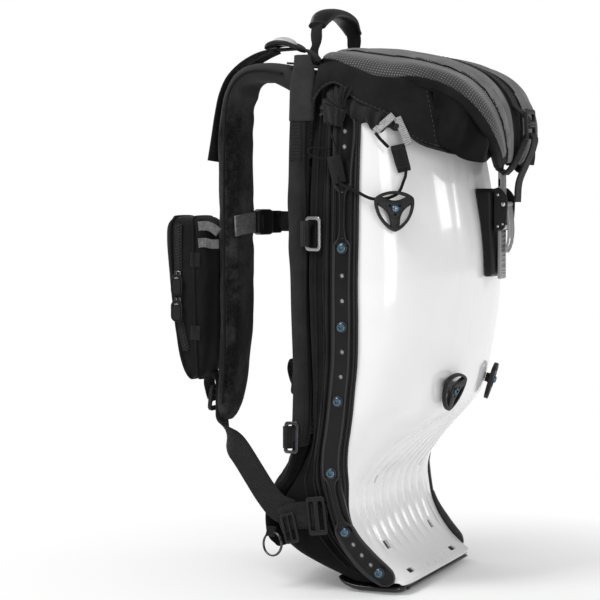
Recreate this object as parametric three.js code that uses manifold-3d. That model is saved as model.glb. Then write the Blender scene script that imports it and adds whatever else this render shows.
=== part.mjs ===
// Hard-shell winter backpack: a moulded shell with two side rails, a padded lid closed by a ratchet
// ladder strap, four cord hooks, a padded back and a shoulder harness with a zip pouch.
// Units are millimetres, +Z is up, -Y is the outer face of the shell, +Y is the wearer's side.
import * as THREE from "three";
import { mergeVertices } from "three/addons/utils/BufferGeometryUtils.js";
import Module from "manifold-3d";

const wasm = await Module();
wasm.setup();

// ---------------------------------------------------------------- driving dimensions
const GROUND = 7;
const GAP = 0.4;
const SHELL_WALL = 3;
const FLANGE = 8;
const RAIL_THICK = 3.4;
const RAIL_GAP = 0.7;
const RAIL_BAR = 17;
const RAIL_PLATE = 20;
const BOLT_HEIGHTS = [331, 259, 190, 122, 66, 28];
const BOLT_HEAD = 4.2;
const BOLT_SHANK = 1.8;
const NUT_STRIP = 6;
const FRAME_THICK = 2;
const HOOK_REACH = 21;
const HOOK_THICK = 4.5;
const HOOK_STANDOFF = 4.5;
const HOOK_UPPER = { x: 130, z: 366 };
const HOOK_LOWER = { x: 62, z: 199 };
const LID_THICK = 9;
const PAD_THICK = 15;
const PAD_WIDTH = 57;
const WEB_THICK = 1.8;
const WEB_WIDE = 25;
const WEB_NARROW = 20;
const CHEEK_INNER = 11.5;
const CHEEK_THICK = 2.5;
const LEVER_PIN = { y: -110, z: 371 };
const PAWL_PIN = { y: -109.8, z: 352 };
const LADDER_HALF = 9;
const LADDER_THICK = 3;
const HANDLE_HALF = 57;
const HANDLE_BASE = { y: 66, z: 505 };
const POUCH_X = -92.5;

// Stations down the shell: height, rail line, half width, crown of the outer face, section exponent.
const STATIONS = [
  [446, 6.5, 130, -68, 2.4],
  [420, 6, 134, -76, 2.4],
  [383, 5, 139, -83, 2.4],
  [340, 4, 143, -90, 2.4],
  [300, 4, 145, -92, 2.4],
  [259, 4, 144, -88, 2.4],
  [222, 5.5, 142, -81, 2.4],
  [197, 9, 139, -75, 2.4],
  [178, 11.5, 137, -66, 2.4],
  [160, 15, 134, -47, 2.5],
  [143, 18.5, 131.5, -29, 2.7],
  [127, 20, 129.5, -14, 3],
  [111, 19.5, 127, -1, 3.6],
  [95, 17, 124, 4, 4.5],
  [80, 14, 121, 3, 6],
  [66, 10, 118, -1, 6],
  [54, 3.5, 115.5, -7, 6],
  [44, -4, 113, -14, 6],
  [34, -13, 110, -23, 6],
  [25, -24, 107, -34, 6],
  [18, -34, 104.5, -44, 6],
];

// Back of the fabric pack body and wearer's face of the pads, as [height, depth] pairs.
const BODY_BACK = [
  [16, 12], [22, 26], [32, 46], [46, 62], [62, 74], [82, 77], [96, 74], [120, 60],
  [146, 48], [188, 45], [282, 47], [412, 48], [468, 47], [500, 47],
];
const PAD_FACE = [
  [46, 76], [62, 90], [84, 93], [96, 90], [120, 77], [146, 66], [188, 62], [282, 64],
  [412, 66], [468, 63], [500, 57],
];

// ---------------------------------------------------------------- small maths
const v = (x, y, z) => new THREE.Vector3(x, y, z);

// Smooth value at x through [x, value] pairs sorted by x.
function through(pairs, x) {
  const last = pairs.length - 1;
  let i = 0;
  while (i < last - 1 && x > pairs[i + 1][0]) i += 1;
  const slope = (a, b) => (pairs[b][1] - pairs[a][1]) / (pairs[b][0] - pairs[a][0]);
  const left = slope(Math.max(i - 1, 0), i + 1 > last ? last : Math.max(i, 1));
  const here = slope(i, i + 1);
  const right = slope(i + 1, Math.min(i + 2, last) === i + 1 ? i : Math.min(i + 2, last));
  const width = pairs[i + 1][0] - pairs[i][0];
  const t = (x - pairs[i][0]) / width;
  const m0 = (left + here) / 2;
  const m1 = (here + right) / 2;
  const t2 = t * t;
  const t3 = t2 * t;
  return (
    (2 * t3 - 3 * t2 + 1) * pairs[i][1] +
    (t3 - 2 * t2 + t) * width * m0 +
    (3 * t2 - 2 * t3) * pairs[i + 1][1] +
    (t3 - t2) * width * m1
  );
}

const column = (k) => STATIONS.map((row) => [row[0], row[k]]).reverse();
const RAIL_LINE = column(1);
const HALF_WIDTH = column(2);
const CROWN = column(3);
const EXPONENT = column(4);
const railY = (z) => through(RAIL_LINE, z);
const halfWidth = (z) => through(HALF_WIDTH, z);
const crownY = (z) => through(CROWN, z);

// Depth of the shell's outer face at a given x and height.
function shellY(x, z) {
  const n = through(EXPONENT, z);
  const across = Math.min(Math.abs(x) / halfWidth(z), 1);
  return railY(z) - (railY(z) - crownY(z)) * Math.pow(1 - Math.pow(across, n), 1 / n);
}

// Point, outward normal and upward direction on the shell's outer face.
function onShell(x, z) {
  const at = v(x, shellY(x, z), z);
  const side = v(x + 1, shellY(x + 1, z), z).sub(at);
  const up = v(x, shellY(x, z + 1), z + 1).sub(at);
  const normal = side.cross(up).normalize();
  return { at, normal };
}

// ---------------------------------------------------------------- solid builders
function faceOut(geometry) {
  const p = geometry.getAttribute("position");
  const index = geometry.index.array;
  const a = v(0, 0, 0);
  const b = v(0, 0, 0);
  const c = v(0, 0, 0);
  let volume = 0;
  for (let i = 0; i < index.length; i += 3) {
    a.fromBufferAttribute(p, index[i]);
    b.fromBufferAttribute(p, index[i + 1]);
    c.fromBufferAttribute(p, index[i + 2]);
    volume += a.dot(b.cross(c));
  }
  if (volume < 0) {
    for (let i = 0; i < index.length; i += 3) {
      [index[i + 1], index[i + 2]] = [index[i + 2], index[i + 1]];
    }
  }
  return geometry;
}

function meshFrom(points, triangles) {
  const geometry = new THREE.BufferGeometry();
  geometry.setAttribute(
    "position",
    new THREE.Float32BufferAttribute(points.flatMap((p) => [p.x, p.y, p.z]), 3),
  );
  geometry.setIndex(triangles);
  return faceOut(geometry);
}

// Closed body through rings of equal length, with fan caps at both ends.
function loft(rings) {
  const n = rings[0].length;
  const points = rings.flat();
  const triangles = [];
  for (let i = 0; i + 1 < rings.length; i += 1) {
    for (let j = 0; j < n; j += 1) {
      const k = (j + 1) % n;
      const [a, b, c, d] = [i * n + j, i * n + k, (i + 1) * n + j, (i + 1) * n + k];
      triangles.push(a, b, d, a, d, c);
    }
  }
  for (const [ring, start, flip] of [
    [rings[0], 0, true],
    [rings[rings.length - 1], (rings.length - 1) * n, false],
  ]) {
    const hub = points.length;
    points.push(ring.reduce((sum, p) => sum.add(p), v(0, 0, 0)).divideScalar(n));
    for (let j = 0; j < n; j += 1) {
      const k = (j + 1) % n;
      triangles.push(hub, ...(flip ? [start + k, start + j] : [start + j, start + k]));
    }
  }
  return meshFrom(points, triangles);
}

// Closed body between two equal grids of points, joined round their borders.
function slab(outer, inner) {
  const rows = outer.length;
  const cols = outer[0].length;
  const points = [...outer.flat(), ...inner.flat()];
  const shift = rows * cols;
  const triangles = [];
  const quad = (a, b, c, d) => triangles.push(a, b, c, a, c, d);
  for (let i = 0; i + 1 < rows; i += 1) {
    for (let j = 0; j + 1 < cols; j += 1) {
      const a = i * cols + j;
      quad(a, a + 1, a + cols + 1, a + cols);
      quad(shift + a + cols, shift + a + cols + 1, shift + a + 1, shift + a);
    }
  }
  for (let j = 0; j + 1 < cols; j += 1) {
    const end = (rows - 1) * cols + j;
    quad(j + 1, j, shift + j, shift + j + 1);
    quad(end, end + 1, shift + end + 1, shift + end);
  }
  for (let i = 0; i + 1 < rows; i += 1) {
    const a = i * cols;
    const b = a + cols - 1;
    quad(a, a + cols, shift + a + cols, shift + a);
    quad(b + cols, b, shift + b, shift + b + cols);
  }
  return meshFrom(points, triangles);
}

// The same grid moved along its own surface normals.
function offsetGrid(grid, distance) {
  const rows = grid.length;
  const cols = grid[0].length;
  return grid.map((row, i) =>
    row.map((p, j) => {
      const down = grid[Math.min(i + 1, rows - 1)][j].clone().sub(grid[Math.max(i - 1, 0)][j]);
      const along = row[Math.min(j + 1, cols - 1)].clone().sub(row[Math.max(j - 1, 0)]);
      return p.clone().addScaledVector(down.cross(along).normalize(), distance);
    }),
  );
}

const gridOf = (rows, cols, point) =>
  rows.map((r) => cols.map((c) => point(r, c)));

const steps = (from, to, count) =>
  Array.from({ length: count + 1 }, (_, i) => from + ((to - from) * i) / count);

// Horizontal ring with rounded corners whose front and back widths may differ.
function ringAt(z, frontHalf, backHalf, y0, y1, radius, x = 0) {
  const r = Math.min(radius, (y1 - y0) / 2.2);
  const corners = [
    [backHalf, y1, 1, 1],
    [-backHalf, y1, -1, 1],
    [-frontHalf, y0, -1, -1],
    [frontHalf, y0, 1, -1],
  ];
  return corners.flatMap(([cx, cy, sx, sy], k) =>
    [0, 0.5, 1].map((s) => {
      const turn = ((k + s) * Math.PI) / 2;
      const ex = cx - sx * r + r * Math.cos(turn);
      const ey = cy - sy * r + r * Math.sin(turn);
      return v(x + ex, ey, z);
    }),
  );
}

// Flat band along a path; wide(s) is its width direction and size(s) its width.
function band(path, wide, size, thick, segments) {
  const curve = new THREE.CatmullRomCurve3(path, false, "centripetal");
  return loft(
    steps(0, 1, segments).map((s) => {
      const at = curve.getPoint(s);
      const along = curve.getTangent(s);
      const w = wide(s).clone();
      w.addScaledVector(along, -w.dot(along)).normalize();
      const up = along.clone().cross(w).normalize();
      const half = size(s) / 2;
      return [
        [1, 1],
        [-1, 1],
        [-1, -1],
        [1, -1],
      ].map(([a, b]) =>
        at.clone().addScaledVector(w, a * half).addScaledVector(up, (b * thick) / 2),
      );
    }),
  );
}

// Round cord along a path.
function cord(path, radius, segments) {
  const curve = new THREE.CatmullRomCurve3(path, false, "centripetal");
  const ring = new THREE.Shape();
  ring.absarc(0, 0, radius, 0, 2 * Math.PI);
  return mergedOf(
    new THREE.ExtrudeGeometry(ring, { steps: segments, extrudePath: curve, curveSegments: 3 }),
  );
}

function mergedOf(geometry) {
  const bare = new THREE.BufferGeometry();
  bare.setAttribute("position", geometry.getAttribute("position"));
  if (geometry.index) bare.setIndex(geometry.index);
  return faceOut(mergeVertices(bare, 1e-3));
}

function roundedShape(width, height, radius, Kind = THREE.Shape) {
  const [w, h] = [width / 2, height / 2];
  const shape = new Kind();
  shape.moveTo(-w + radius, -h);
  shape.lineTo(w - radius, -h);
  shape.quadraticCurveTo(w, -h, w, -h + radius);
  shape.lineTo(w, h - radius);
  shape.quadraticCurveTo(w, h, w - radius, h);
  shape.lineTo(-w + radius, h);
  shape.quadraticCurveTo(-w, h, -w, h - radius);
  shape.lineTo(-w, -h + radius);
  shape.quadraticCurveTo(-w, -h, -w + radius, -h);
  return shape;
}

function rectangleHole(x, y, width, height) {
  const [w, h] = [width / 2, height / 2];
  const hole = new THREE.Path();
  hole.moveTo(x - w, y - h);
  hole.lineTo(x - w, y + h);
  hole.lineTo(x + w, y + h);
  hole.lineTo(x + w, y - h);
  hole.closePath();
  return hole;
}

// Flat plate of a shape, standing on z = 0 in its own frame.
function plate(shape, thick, segments = 3) {
  return mergedOf(
    new THREE.ExtrudeGeometry(shape, { depth: thick, bevelEnabled: false, curveSegments: segments }),
  );
}

function rod(radius, from, to, sides = 12) {
  const geometry = new THREE.CylinderGeometry(radius, radius, to - from, sides);
  geometry.rotateX(Math.PI / 2);
  geometry.translate(0, 0, (from + to) / 2);
  return mergedOf(geometry);
}

function brick(width, depth, height) {
  return mergedOf(new THREE.BoxGeometry(width, depth, height));
}

// Moves a body into the frame at a point whose z axis is out and whose y axis is near up.
function standOn(geometry, at, out, up = v(0, 0, 1)) {
  const z = out.clone().normalize();
  const x = up.clone().cross(z).normalize();
  const y = z.clone().cross(x);
  const matrix = new THREE.Matrix4().makeBasis(x, y, z).setPosition(at);
  return geometry.clone().applyMatrix4(matrix);
}

const moved = (geometry, x, y, z) => geometry.clone().translate(x, y, z);

function solid(geometry) {
  return new wasm.Manifold(
    new wasm.Mesh({
      numProp: 3,
      vertProperties: new Float32Array(geometry.getAttribute("position").array),
      triVerts: new Uint32Array(geometry.index.array),
    }),
  );
}

function geometryOf(body) {
  const mesh = body.getMesh();
  const geometry = new THREE.BufferGeometry();
  geometry.setAttribute("position", new THREE.BufferAttribute(mesh.vertProperties, 3));
  geometry.setIndex(new THREE.BufferAttribute(mesh.triVerts, 1));
  return geometry;
}

const join = (...parts) => geometryOf(parts.map(solid).reduce((a, b) => a.add(b)));

function cut(body, tools) {
  return geometryOf(tools.map(solid).reduce((a, b) => a.subtract(b), solid(body)));
}

function mirrored(geometry) {
  const copy = geometry.clone().scale(-1, 1, 1);
  copy.setIndex([...copy.index.array]);
  return faceOut(copy);
}

// ---------------------------------------------------------------- shell, rails and frame
const boltAt = (z, side) => v(side * halfWidth(z), railY(z), z);

// Outward normal of the rail, which leans inwards along its length as the shell narrows.
function railNormal(z, side) {
  const along = v(0, railY(z + 2) - railY(z - 2), 4).normalize();
  const lean = ((halfWidth(z + 2) - halfWidth(z - 2)) / 4) * along.z;
  return v(side, -lean * along.y, -lean * along.z).normalize();
}

function boltHoles(side, radius) {
  return BOLT_HEIGHTS.map((z) =>
    standOn(rod(radius, -12, 12, 8), boltAt(z, side), railNormal(z, side)),
  );
}

function shell() {
  const heights = [
    446, 398, 347, 290, 245, 212, 197, 187, 173, 160, 151, 143, 127, 111, 95, 80, 66, 54, 44, 34,
    25, 18,
  ];
  const turns = steps(0, 1, 14);
  const outer = gridOf(heights, [-1, ...turns, 2], (z, s) => {
    const half = halfWidth(z);
    if (s < 0) return v(-half, railY(z) + FLANGE, z);
    if (s > 1) return v(half, railY(z) + FLANGE, z);
    const n = through(EXPONENT, z);
    const [c, d] = [Math.cos(s * Math.PI), Math.sin(s * Math.PI)];
    const x = -half * Math.sign(c) * Math.pow(Math.abs(c), 2 / n);
    return v(x, railY(z) - (railY(z) - crownY(z)) * Math.pow(Math.abs(d), 2 / n), z);
  });
  const wall = slab(outer, offsetGrid(outer, -SHELL_WALL));
  const hookHoles = [HOOK_UPPER, HOOK_LOWER].flatMap(({ x, z }) =>
    [-1, 1].map((side) => {
      const { at, normal } = onShell(side * x, z);
      return standOn(rod(2.3, -12, 12, 8), at, normal);
    }),
  );
  return cut(wall, [
    ...boltHoles(-1, 2.3),
    ...boltHoles(1, 2.3),
    ...hookHoles,
    ...tailSlots(),
  ]);
}

// Slots in the tail: two lip slots, two square holes and two small slots.
function tailSlots() {
  const slots = [
    { x: 64.5, z: 24, w: 12, h: 4.5 },
    { x: 66, z: 47, w: 7, h: 7 },
    { x: 67, z: 110, w: 3, h: 7 },
  ];
  return slots.flatMap(({ x, z, w, h }) =>
    [-1, 1].map((side) => {
      const { at, normal } = onShell(side * x, z);
      const tool = moved(brick(w, h, 16), 0, 0, -2);
      return standOn(tool, at, normal);
    }),
  );
}

// Band of the rail line at a distance outside the shell's side.
function sideStrip(heights, width, from, to, side) {
  const line = heights.map((z) => v(0, railY(z), z));
  return loft(
    heights.map((z, i) => {
      const along = line[Math.min(i + 1, line.length - 1)]
        .clone()
        .sub(line[Math.max(i - 1, 0)])
        .normalize();
      const across = v(0, -along.z, along.y);
      const half = width(z) / 2;
      const corner = (out, s) =>
        v(side * (halfWidth(z) + out), railY(z) + across.y * half * s, z + across.z * half * s);
      return [corner(to, -1), corner(to, 1), corner(from, 1), corner(from, -1)];
    }),
  );
}

// Rail: holed plates at both ends, a narrow bar between, waisted necks with openings.
function rail() {
  const heights = [
    455, 450, 398, 347, 290, 245, 212, 187, 160, 143, 127, 111, 95, 80, 66, 54, 44, 34, 25, 18,
  ];
  const widths = [
    [18, 12], [25, RAIL_PLATE], [66, RAIL_PLATE], [80, 17], [95, 15], [111, 16],
    [127, RAIL_BAR], [347, RAIL_BAR], [374, 14], [398, 16], [450, RAIL_PLATE], [455, 15],
  ];
  const body = sideStrip(heights, (z) => through(widths, z), RAIL_GAP, RAIL_GAP + RAIL_THICK, -1);
  const openings = [
    [438, 2], [424, 2], [306, 1.5], [283, 1.5], [236, 1.5], [213, 1.5], [54, 2], [44, 2], [35, 2],
  ].map(([z, r]) => standOn(rod(r, -2, 9, 6), boltAt(z, -1), railNormal(z, -1)));
  const windows = [
    [399, 16, 5.5], [371, 16, 5.5], [104, 13, 4.5], [86, 12, 4.5],
  ].map(([z, long, wide]) => {
    const along = v(0, railY(z + 2) - railY(z - 2), 4);
    const tool = moved(plate(roundedShape(wide, long, 2), 12), 0, 0, -3);
    return standOn(tool, boltAt(z, -1), v(-1, 0, 0), along);
  });
  return cut(body, [...openings, ...windows, ...boltHoles(-1, 2.4)]);
}

// Six bolts of one rail in the nut strip they screw into, inside the shell's edge.
function railBolts() {
  const heights = [347, 290, 245, 212, 187, 160, 143, 127, 111, 95, 80, 66, 54, 44, 34, 25];
  const inner = -SHELL_WALL - 1 - 3;
  const strip = sideStrip(heights, () => NUT_STRIP, inner, -SHELL_WALL - 1, -1).translate(0, 2, 0);
  const bolts = BOLT_HEIGHTS.map((z) => {
    const head = RAIL_GAP + RAIL_THICK + GAP;
    const shank = rod(BOLT_SHANK, inner + 1, head + 1, 8);
    const cap = rod(BOLT_HEAD, head, head + 2.2, 8);
    const socket = rod(1.7, head + 1.1, head + 4, 6);
    return standOn(cut(join(shank, cap), [socket]), boltAt(z, -1), railNormal(z, -1));
  });
  return join(strip, ...bolts);
}

// Thin sheet that closes the shell behind its flange.
function backFrame() {
  const heights = [440, 400, 340, 280, 222, 190, 160, 143, 127, 111, 95, 80, 66, 54, 44, 34, 25, 20];
  const face = gridOf(heights, [-1, -0.5, 0, 0.5, 1], (z, s) =>
    v(s * (halfWidth(z) - 1), railY(z) + FLANGE + 1, z),
  );
  const back = face.map((row) => row.map((p) => p.clone().add(v(0, FRAME_THICK, 0))));
  return slab(face, back);
}

function packBody() {
  const heights = [16, 22, 30, 40, 52, 66, 82, 96, 120, 146, 164, 188, 235, 320, 412, 446, 486, 494, 500];
  return loft(
    heights.map((z) => {
      const low = Math.min(Math.max(z, 18), 446);
      const underLid = z > 490 ? 23.5 : 0;
      const front = railY(low) + FLANGE + FRAME_THICK + 1.6 + underLid;
      const half = halfWidth(low) - 2 - Math.max(0, z - 446) * 0.25;
      const back = through(BODY_BACK, z);
      return ringAt(z, half, half - 13, front, Math.max(back, front + 5), 9);
    }),
  );
}

// Padding between two heights, lying on the back of the pack body.
function padding(heights, half, round) {
  return loft(
    heights.map((z, i) => {
      const edge = Math.min(i, heights.length - 1 - i);
      const inset = edge === 0 ? round : 0;
      const y0 = through(BODY_BACK, z) + 1.7;
      return ringAt(z, half(z) - inset, half(z) - inset, y0, through(PAD_FACE, z) - inset * 0.6, 8);
    }),
  );
}

const backPad = () =>
  padding([152, 160, 188, 235, 320, 412, 450, 474, 490, 496], () => 125, 5);

const lumbarPad = () =>
  padding([47, 54, 66, 82, 96, 108, 120, 134, 145, 149], (z) => 108 + (z - 47) * 0.13, 5);

// Foot under the tail: a shallow tray with a rounded front.
function baseFoot() {
  const rows = [
    [-50, 11, 14, 90], [-47, 8.6, 14.5, 97], [-36, 7, 14.6, 102], [-18, 7, 14.6, 104],
    [4, 7, 14.6, 104], [18, 9.5, 14.6, 103], [26, 12, 14.6, 99],
  ];
  return loft(
    rows.map(([y, low, high, half]) => [
      v(-half, y, high),
      v(-half, y, low + 2),
      v(-half + 5, y, low),
      v(half - 5, y, low),
      v(half, y, low + 2),
      v(half, y, high),
    ]),
  );
}

// ---------------------------------------------------------------- hooks and cords
// Rounded triangular cord hook with three curved slots round a central boss.
function hookShape(reach) {
  const shape = new THREE.Shape();
  const corner = (k) => Math.PI / 2 + Math.PI + (k * 2 * Math.PI) / 3;
  for (let k = 0; k <= 3; k += 1) {
    const a = corner(k);
    const [x, y] = [Math.cos(a) * reach, Math.sin(a) * reach];
    if (k === 0) {
      shape.moveTo(x, y);
    } else {
      const m = a - Math.PI / 3;
      shape.quadraticCurveTo(Math.cos(m) * reach * 1.02, Math.sin(m) * reach * 1.02, x, y);
    }
  }
  return shape;
}

function hookBody() {
  const body = plate(hookShape(HOOK_REACH), HOOK_THICK, 4);
  const boss = rod(7.5, -HOOK_STANDOFF + GAP, HOOK_THICK, 12);
  const slots = [0, 1, 2].map((k) => {
    const slot = new THREE.Shape();
    slot.moveTo(-10, 9.2);
    slot.quadraticCurveTo(0, 14.5, 10, 9.2);
    slot.quadraticCurveTo(0, 8, -10, 9.2);
    const tool = moved(plate(slot, 12, 4), 0, 0, -3);
    return tool.rotateZ((k * 2 * Math.PI) / 3);
  });
  return cut(join(cut(body, slots), boss), [rod(2.3, -12, 12, 8)]);
}

function hookAt({ x, z }) {
  const { at, normal } = onShell(-x, z);
  return standOn(hookBody(), at.addScaledVector(normal, HOOK_STANDOFF), normal);
}

function hookScrewAt({ x, z }) {
  const { at, normal } = onShell(-x, z);
  const seat = HOOK_STANDOFF + HOOK_THICK + GAP;
  const screw = join(rod(BOLT_SHANK, -8, seat + 1, 8), rod(BOLT_HEAD, seat, seat + 2.2, 12));
  return standOn(cut(screw, [rod(1.7, seat + 1.1, seat + 4, 6)]), at, normal);
}

// Folded webbing tab that holds one end of the elastic cord.
function cordTab(at, out, lean, high) {
  const tab = plate(roundedShape(13, high, 1.5), 3, 2);
  return standOn(tab, at, out, lean);
}

const tabFront = () => {
  const { at, normal } = onShell(-118, 414);
  return cordTab(at.addScaledVector(normal, 5.2), normal, v(0, 0.3, 1), 26);
};
const tabRear = () => cordTab(v(-halfWidth(400) - 6, 3, 404), v(-1, 0, 0), v(0, 0.1, 1), 26);

function elasticCord() {
  const rear = v(-halfWidth(390) - 7, 0, 388);
  const front = onShell(-122, 396.5);
  const hook = onShell(-HOOK_UPPER.x, HOOK_UPPER.z);
  const lift = HOOK_STANDOFF + HOOK_THICK + 4;
  const left = onShell(-136, 374);
  const right = onShell(-122, 380);
  return cord(
    [
      rear,
      left.at.clone().addScaledVector(left.normal, lift),
      hook.at.clone().add(v(0, 0, 11)).addScaledVector(hook.normal, lift),
      right.at.clone().addScaledVector(right.normal, lift),
      front.at.clone().addScaledVector(front.normal, 6.7),
    ],
    1.4,
    10,
  );
}

// ---------------------------------------------------------------- collar and lid
// Gathered fabric ring that rises from inside the shell's mouth under the lid.
function collar() {
  const rows = [
    [428, 127, -67, 12], [446.6, 124, -61, 12], [453, 126, -62, 13], [467, 117, -60, 13], [485, 100, -52, 12],
  ];
  const turns = steps(0, 1, 14);
  const wall = (inset, drop, lift) =>
    rows.map(([z, half, y0, y1], i) =>
      turns.map((s) => {
        const [c, d] = [Math.cos(s * Math.PI), Math.sin(s * Math.PI)];
        const x = Math.sign(c) * Math.pow(Math.abs(c), 2 / 2.3) * (half - inset);
        const y = y1 - inset - (y1 - y0 - 2 * inset) * Math.pow(Math.abs(d), 2 / 2.3);
        const tilt = i === rows.length - 1 ? (y - y1) * 0.1 + lift : 0;
        return v(x, y, z + tilt - (i === 0 ? drop : 0));
      }),
    );
  return cut(loft(wall(0, 0, 0)), [loft(wall(2.5, 2, 2))]);
}

// Padded lid: a cap from the rear hinge line down over the front.
const LID_ROWS = [
  [38, 517, 40, 503, 104],
  [20, 518, 20, 496, 114],
  [0, 517, 0, 488, 119],
  [-25, 514, -25, 483, 120],
  [-50, 509, -48, 480, 115],
  [-75, 502, -70, 478, 109],
  [-97, 493, -88, 473, 104],
  [-114, 481, -102, 466, 98],
  [-124, 466, -112, 455, 88],
  [-127, 452, -117, 441, 75],
  [-124, 436, -117, 428, 60],
  [-117, 421, -112, 415, 44],
  [-110, 411, -107, 407, 30],
];

function lid() {
  const turns = steps(0, 1, 12);
  const outer = LID_ROWS.map(([yc, zc, ye, ze, half]) =>
    turns.map((s) => {
      const a = s * Math.PI;
      const n = 2 / 2.7;
      const x = -half * Math.sign(Math.cos(a)) * Math.pow(Math.abs(Math.cos(a)), n);
      const lift = Math.pow(Math.sin(a), n);
      return v(x, ye + (yc - ye) * lift, ze + (zc - ze) * lift);
    }),
  );
  return slab(outer, offsetGrid(outer, -LID_THICK));
}

// Fabric wing that hangs from the lid's edge down the shell's side.
function lidWing() {
  const lower = [
    [14, 466], [0, 458], [-14, 450], [-30, 436], [-45, 426], [-58, 420], [-70, 419],
  ];
  const wingFace = (offset) =>
    steps(0, 1, 6).map((s) => {
      const y = -8 - 54 * s;
      const bottom = through([...lower].reverse(), y);
      return steps(0, 1, 5).map((t) => {
        const top = 477 - 7 * s;
        const z = bottom + (top - bottom) * t;
        const low = Math.min(z, 446);
        const half = halfWidth(low);
        const n = through(EXPONENT, low);
        const depth = (railY(low) - y) / (railY(low) - crownY(low) + 4);
        const side = half * Math.pow(Math.max(1 - Math.pow(Math.max(depth, 0), n), 0), 1 / n);
        return v(-(side - Math.max(z - 446, 0) * 0.3) - offset, y, z);
      });
    });
  return slab(wingFace(4.5), wingFace(2.2));
}

// ---------------------------------------------------------------- closure
function latchBlock() {
  const rows = [
    [302, 6, 18], [308, 9, 20], [318, 9.2, 20], [330, 9.6, 20], [350, 10.6, 20], [366, 13.2, 20],
    [380, 15.6, 20], [386, 14, 18],
  ];
  return loft(
    rows.map(([z, deep, half]) => ringAt(z, half, half, crownY(z) - deep - 0.8, crownY(z) - 0.8, 3)),
  );
}

// Buckle frame: a base plate and two cheeks that carry the lever and the pawl.
function buckleFrame() {
  const base = moved(brick(2 * (CHEEK_INNER + CHEEK_THICK), 1.4, 40), 0, -101.7, 366);
  const outline = new THREE.Shape();
  outline.moveTo(-101.2, 346);
  outline.lineTo(-101.2, 386);
  outline.lineTo(-107, 386);
  outline.lineTo(-113.6, 378);
  outline.lineTo(-113.6, 366);
  outline.lineTo(-112.6, 352);
  outline.lineTo(-109, 346);
  outline.closePath();
  const cheek = (x) => {
    const flat = plate(outline, CHEEK_THICK);
    const turn = new THREE.Matrix4().makeBasis(v(0, 1, 0), v(0, 0, 1), v(1, 0, 0));
    return flat.applyMatrix4(turn).translate(x, 0, 0);
  };
  return cut(join(base, cheek(CHEEK_INNER), cheek(-CHEEK_INNER - CHEEK_THICK)), [
    crossRod(LEVER_PIN, 1.9, 20),
    crossRod(PAWL_PIN, 1.4, 20),
  ]);
}

function crossRod({ y, z }, radius, half, sides = 8) {
  return rod(radius, -half, half, sides).rotateY(Math.PI / 2).translate(0, y, z);
}

// Lever with its own pin: a bowed plate with a finger slot.
function ratchetLever() {
  const bowed = band(
    [v(0, -110.9, 370), v(0, -113, 358), v(0, -113.8, 345), v(0, -112.8, 334), v(0, -109.8, 325)],
    () => v(1, 0, 0),
    (s) => 20 - 4 * s,
    2.4,
    8,
  );
  const hub = crossRod(LEVER_PIN, 2.5, CHEEK_INNER - GAP, 8);
  const pin = crossRod(LEVER_PIN, 1.5, CHEEK_INNER + CHEEK_THICK + 1.2, 8);
  const slot = moved(brick(8, 20, 7), 0, -113, 335);
  return cut(join(hub, pin, bowed), [slot]);
}

// Pawl that drops between the teeth of the ladder strap.
function ratchetPawl() {
  const hub = crossRod(PAWL_PIN, 1.8, CHEEK_INNER - GAP, 8);
  const pin = crossRod(PAWL_PIN, 1.05, CHEEK_INNER + CHEEK_THICK + 1, 8);
  const tooth = moved(brick(16, 2, 4), 0, PAWL_PIN.y + 1.6, PAWL_PIN.z - 2);
  return join(hub, pin, tooth);
}

// Toothed strap: flat behind, stepped in front, rounded at the lower end, slotted at the top.
function ladderStrap() {
  const back = -103.1;
  const profile = new THREE.Shape();
  profile.moveTo(back, 300);
  profile.lineTo(back, 404);
  profile.lineTo(back - LADDER_THICK, 404);
  profile.lineTo(back - LADDER_THICK, 388);
  const teeth = 16;
  const pitch = 4.6;
  for (let i = 0; i < teeth; i += 1) {
    const z = 386 - i * pitch;
    profile.lineTo(back - LADDER_THICK + 1, z);
    profile.lineTo(back - LADDER_THICK, z - pitch + 0.6);
  }
  profile.lineTo(back - LADDER_THICK, 302);
  profile.lineTo(back - LADDER_THICK + 1, 300);
  profile.closePath();
  const flat = plate(profile, 2 * LADDER_HALF);
  const turn = new THREE.Matrix4().makeBasis(v(0, 1, 0), v(0, 0, 1), v(1, 0, 0));
  const strap = flat.applyMatrix4(turn).translate(-LADDER_HALF, 0, 0);
  return cut(strap, [moved(brick(14, 12, 4), 0, back, 398)]);
}

const LOCK_BAR = v(0, -132, 434);

// Webbing from the ladder strap up round the lock's lower bar and down again as a free tail.
function closureWebbing() {
  return band(
    [
      v(0, -108, 399.5), v(0, -113.4, 405), v(0, -118.6, 413), v(0, -123.8, 424), v(0, -127.6, 433),
      v(0, -131.6, 438.4), v(0, -136.4, 434.5), v(0, -134.6, 423), v(0, -128, 408), v(0, -121.5, 392),
      v(0, -120, 373),
    ],
    () => v(1, 0, 0),
    () => WEB_NARROW,
    WEB_THICK,
    26,
  );
}

function lidLadderLock() {
  const outline = roundedShape(31, 29, 3);
  outline.holes.push(rectangleHole(0, -6.5, 23, 9), rectangleHole(0, 6.5, 23, 7));
  const lock = plate(outline, 3.4, 2);
  const seat = LOCK_BAR.clone().add(v(0, 1.7, 12.7));
  return standOn(lock, seat, v(0, -1, 0.05));
}

// ---------------------------------------------------------------- harness
const PAD_PATH = [
  v(-86, 63, 503), v(-86, 80, 501), v(-85, 102, 497), v(-84, 121, 489), v(-83, 133, 476),
  v(-82.5, 139, 456), v(-82.5, 141.5, 420), v(-82.5, 142, 360), v(-82.5, 142, 300), v(-83, 142.5, 230),
  v(-85, 145, 190), v(-88, 148.5, 162),
];
const padCurve = new THREE.CatmullRomCurve3(PAD_PATH, false, "centripetal");

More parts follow.
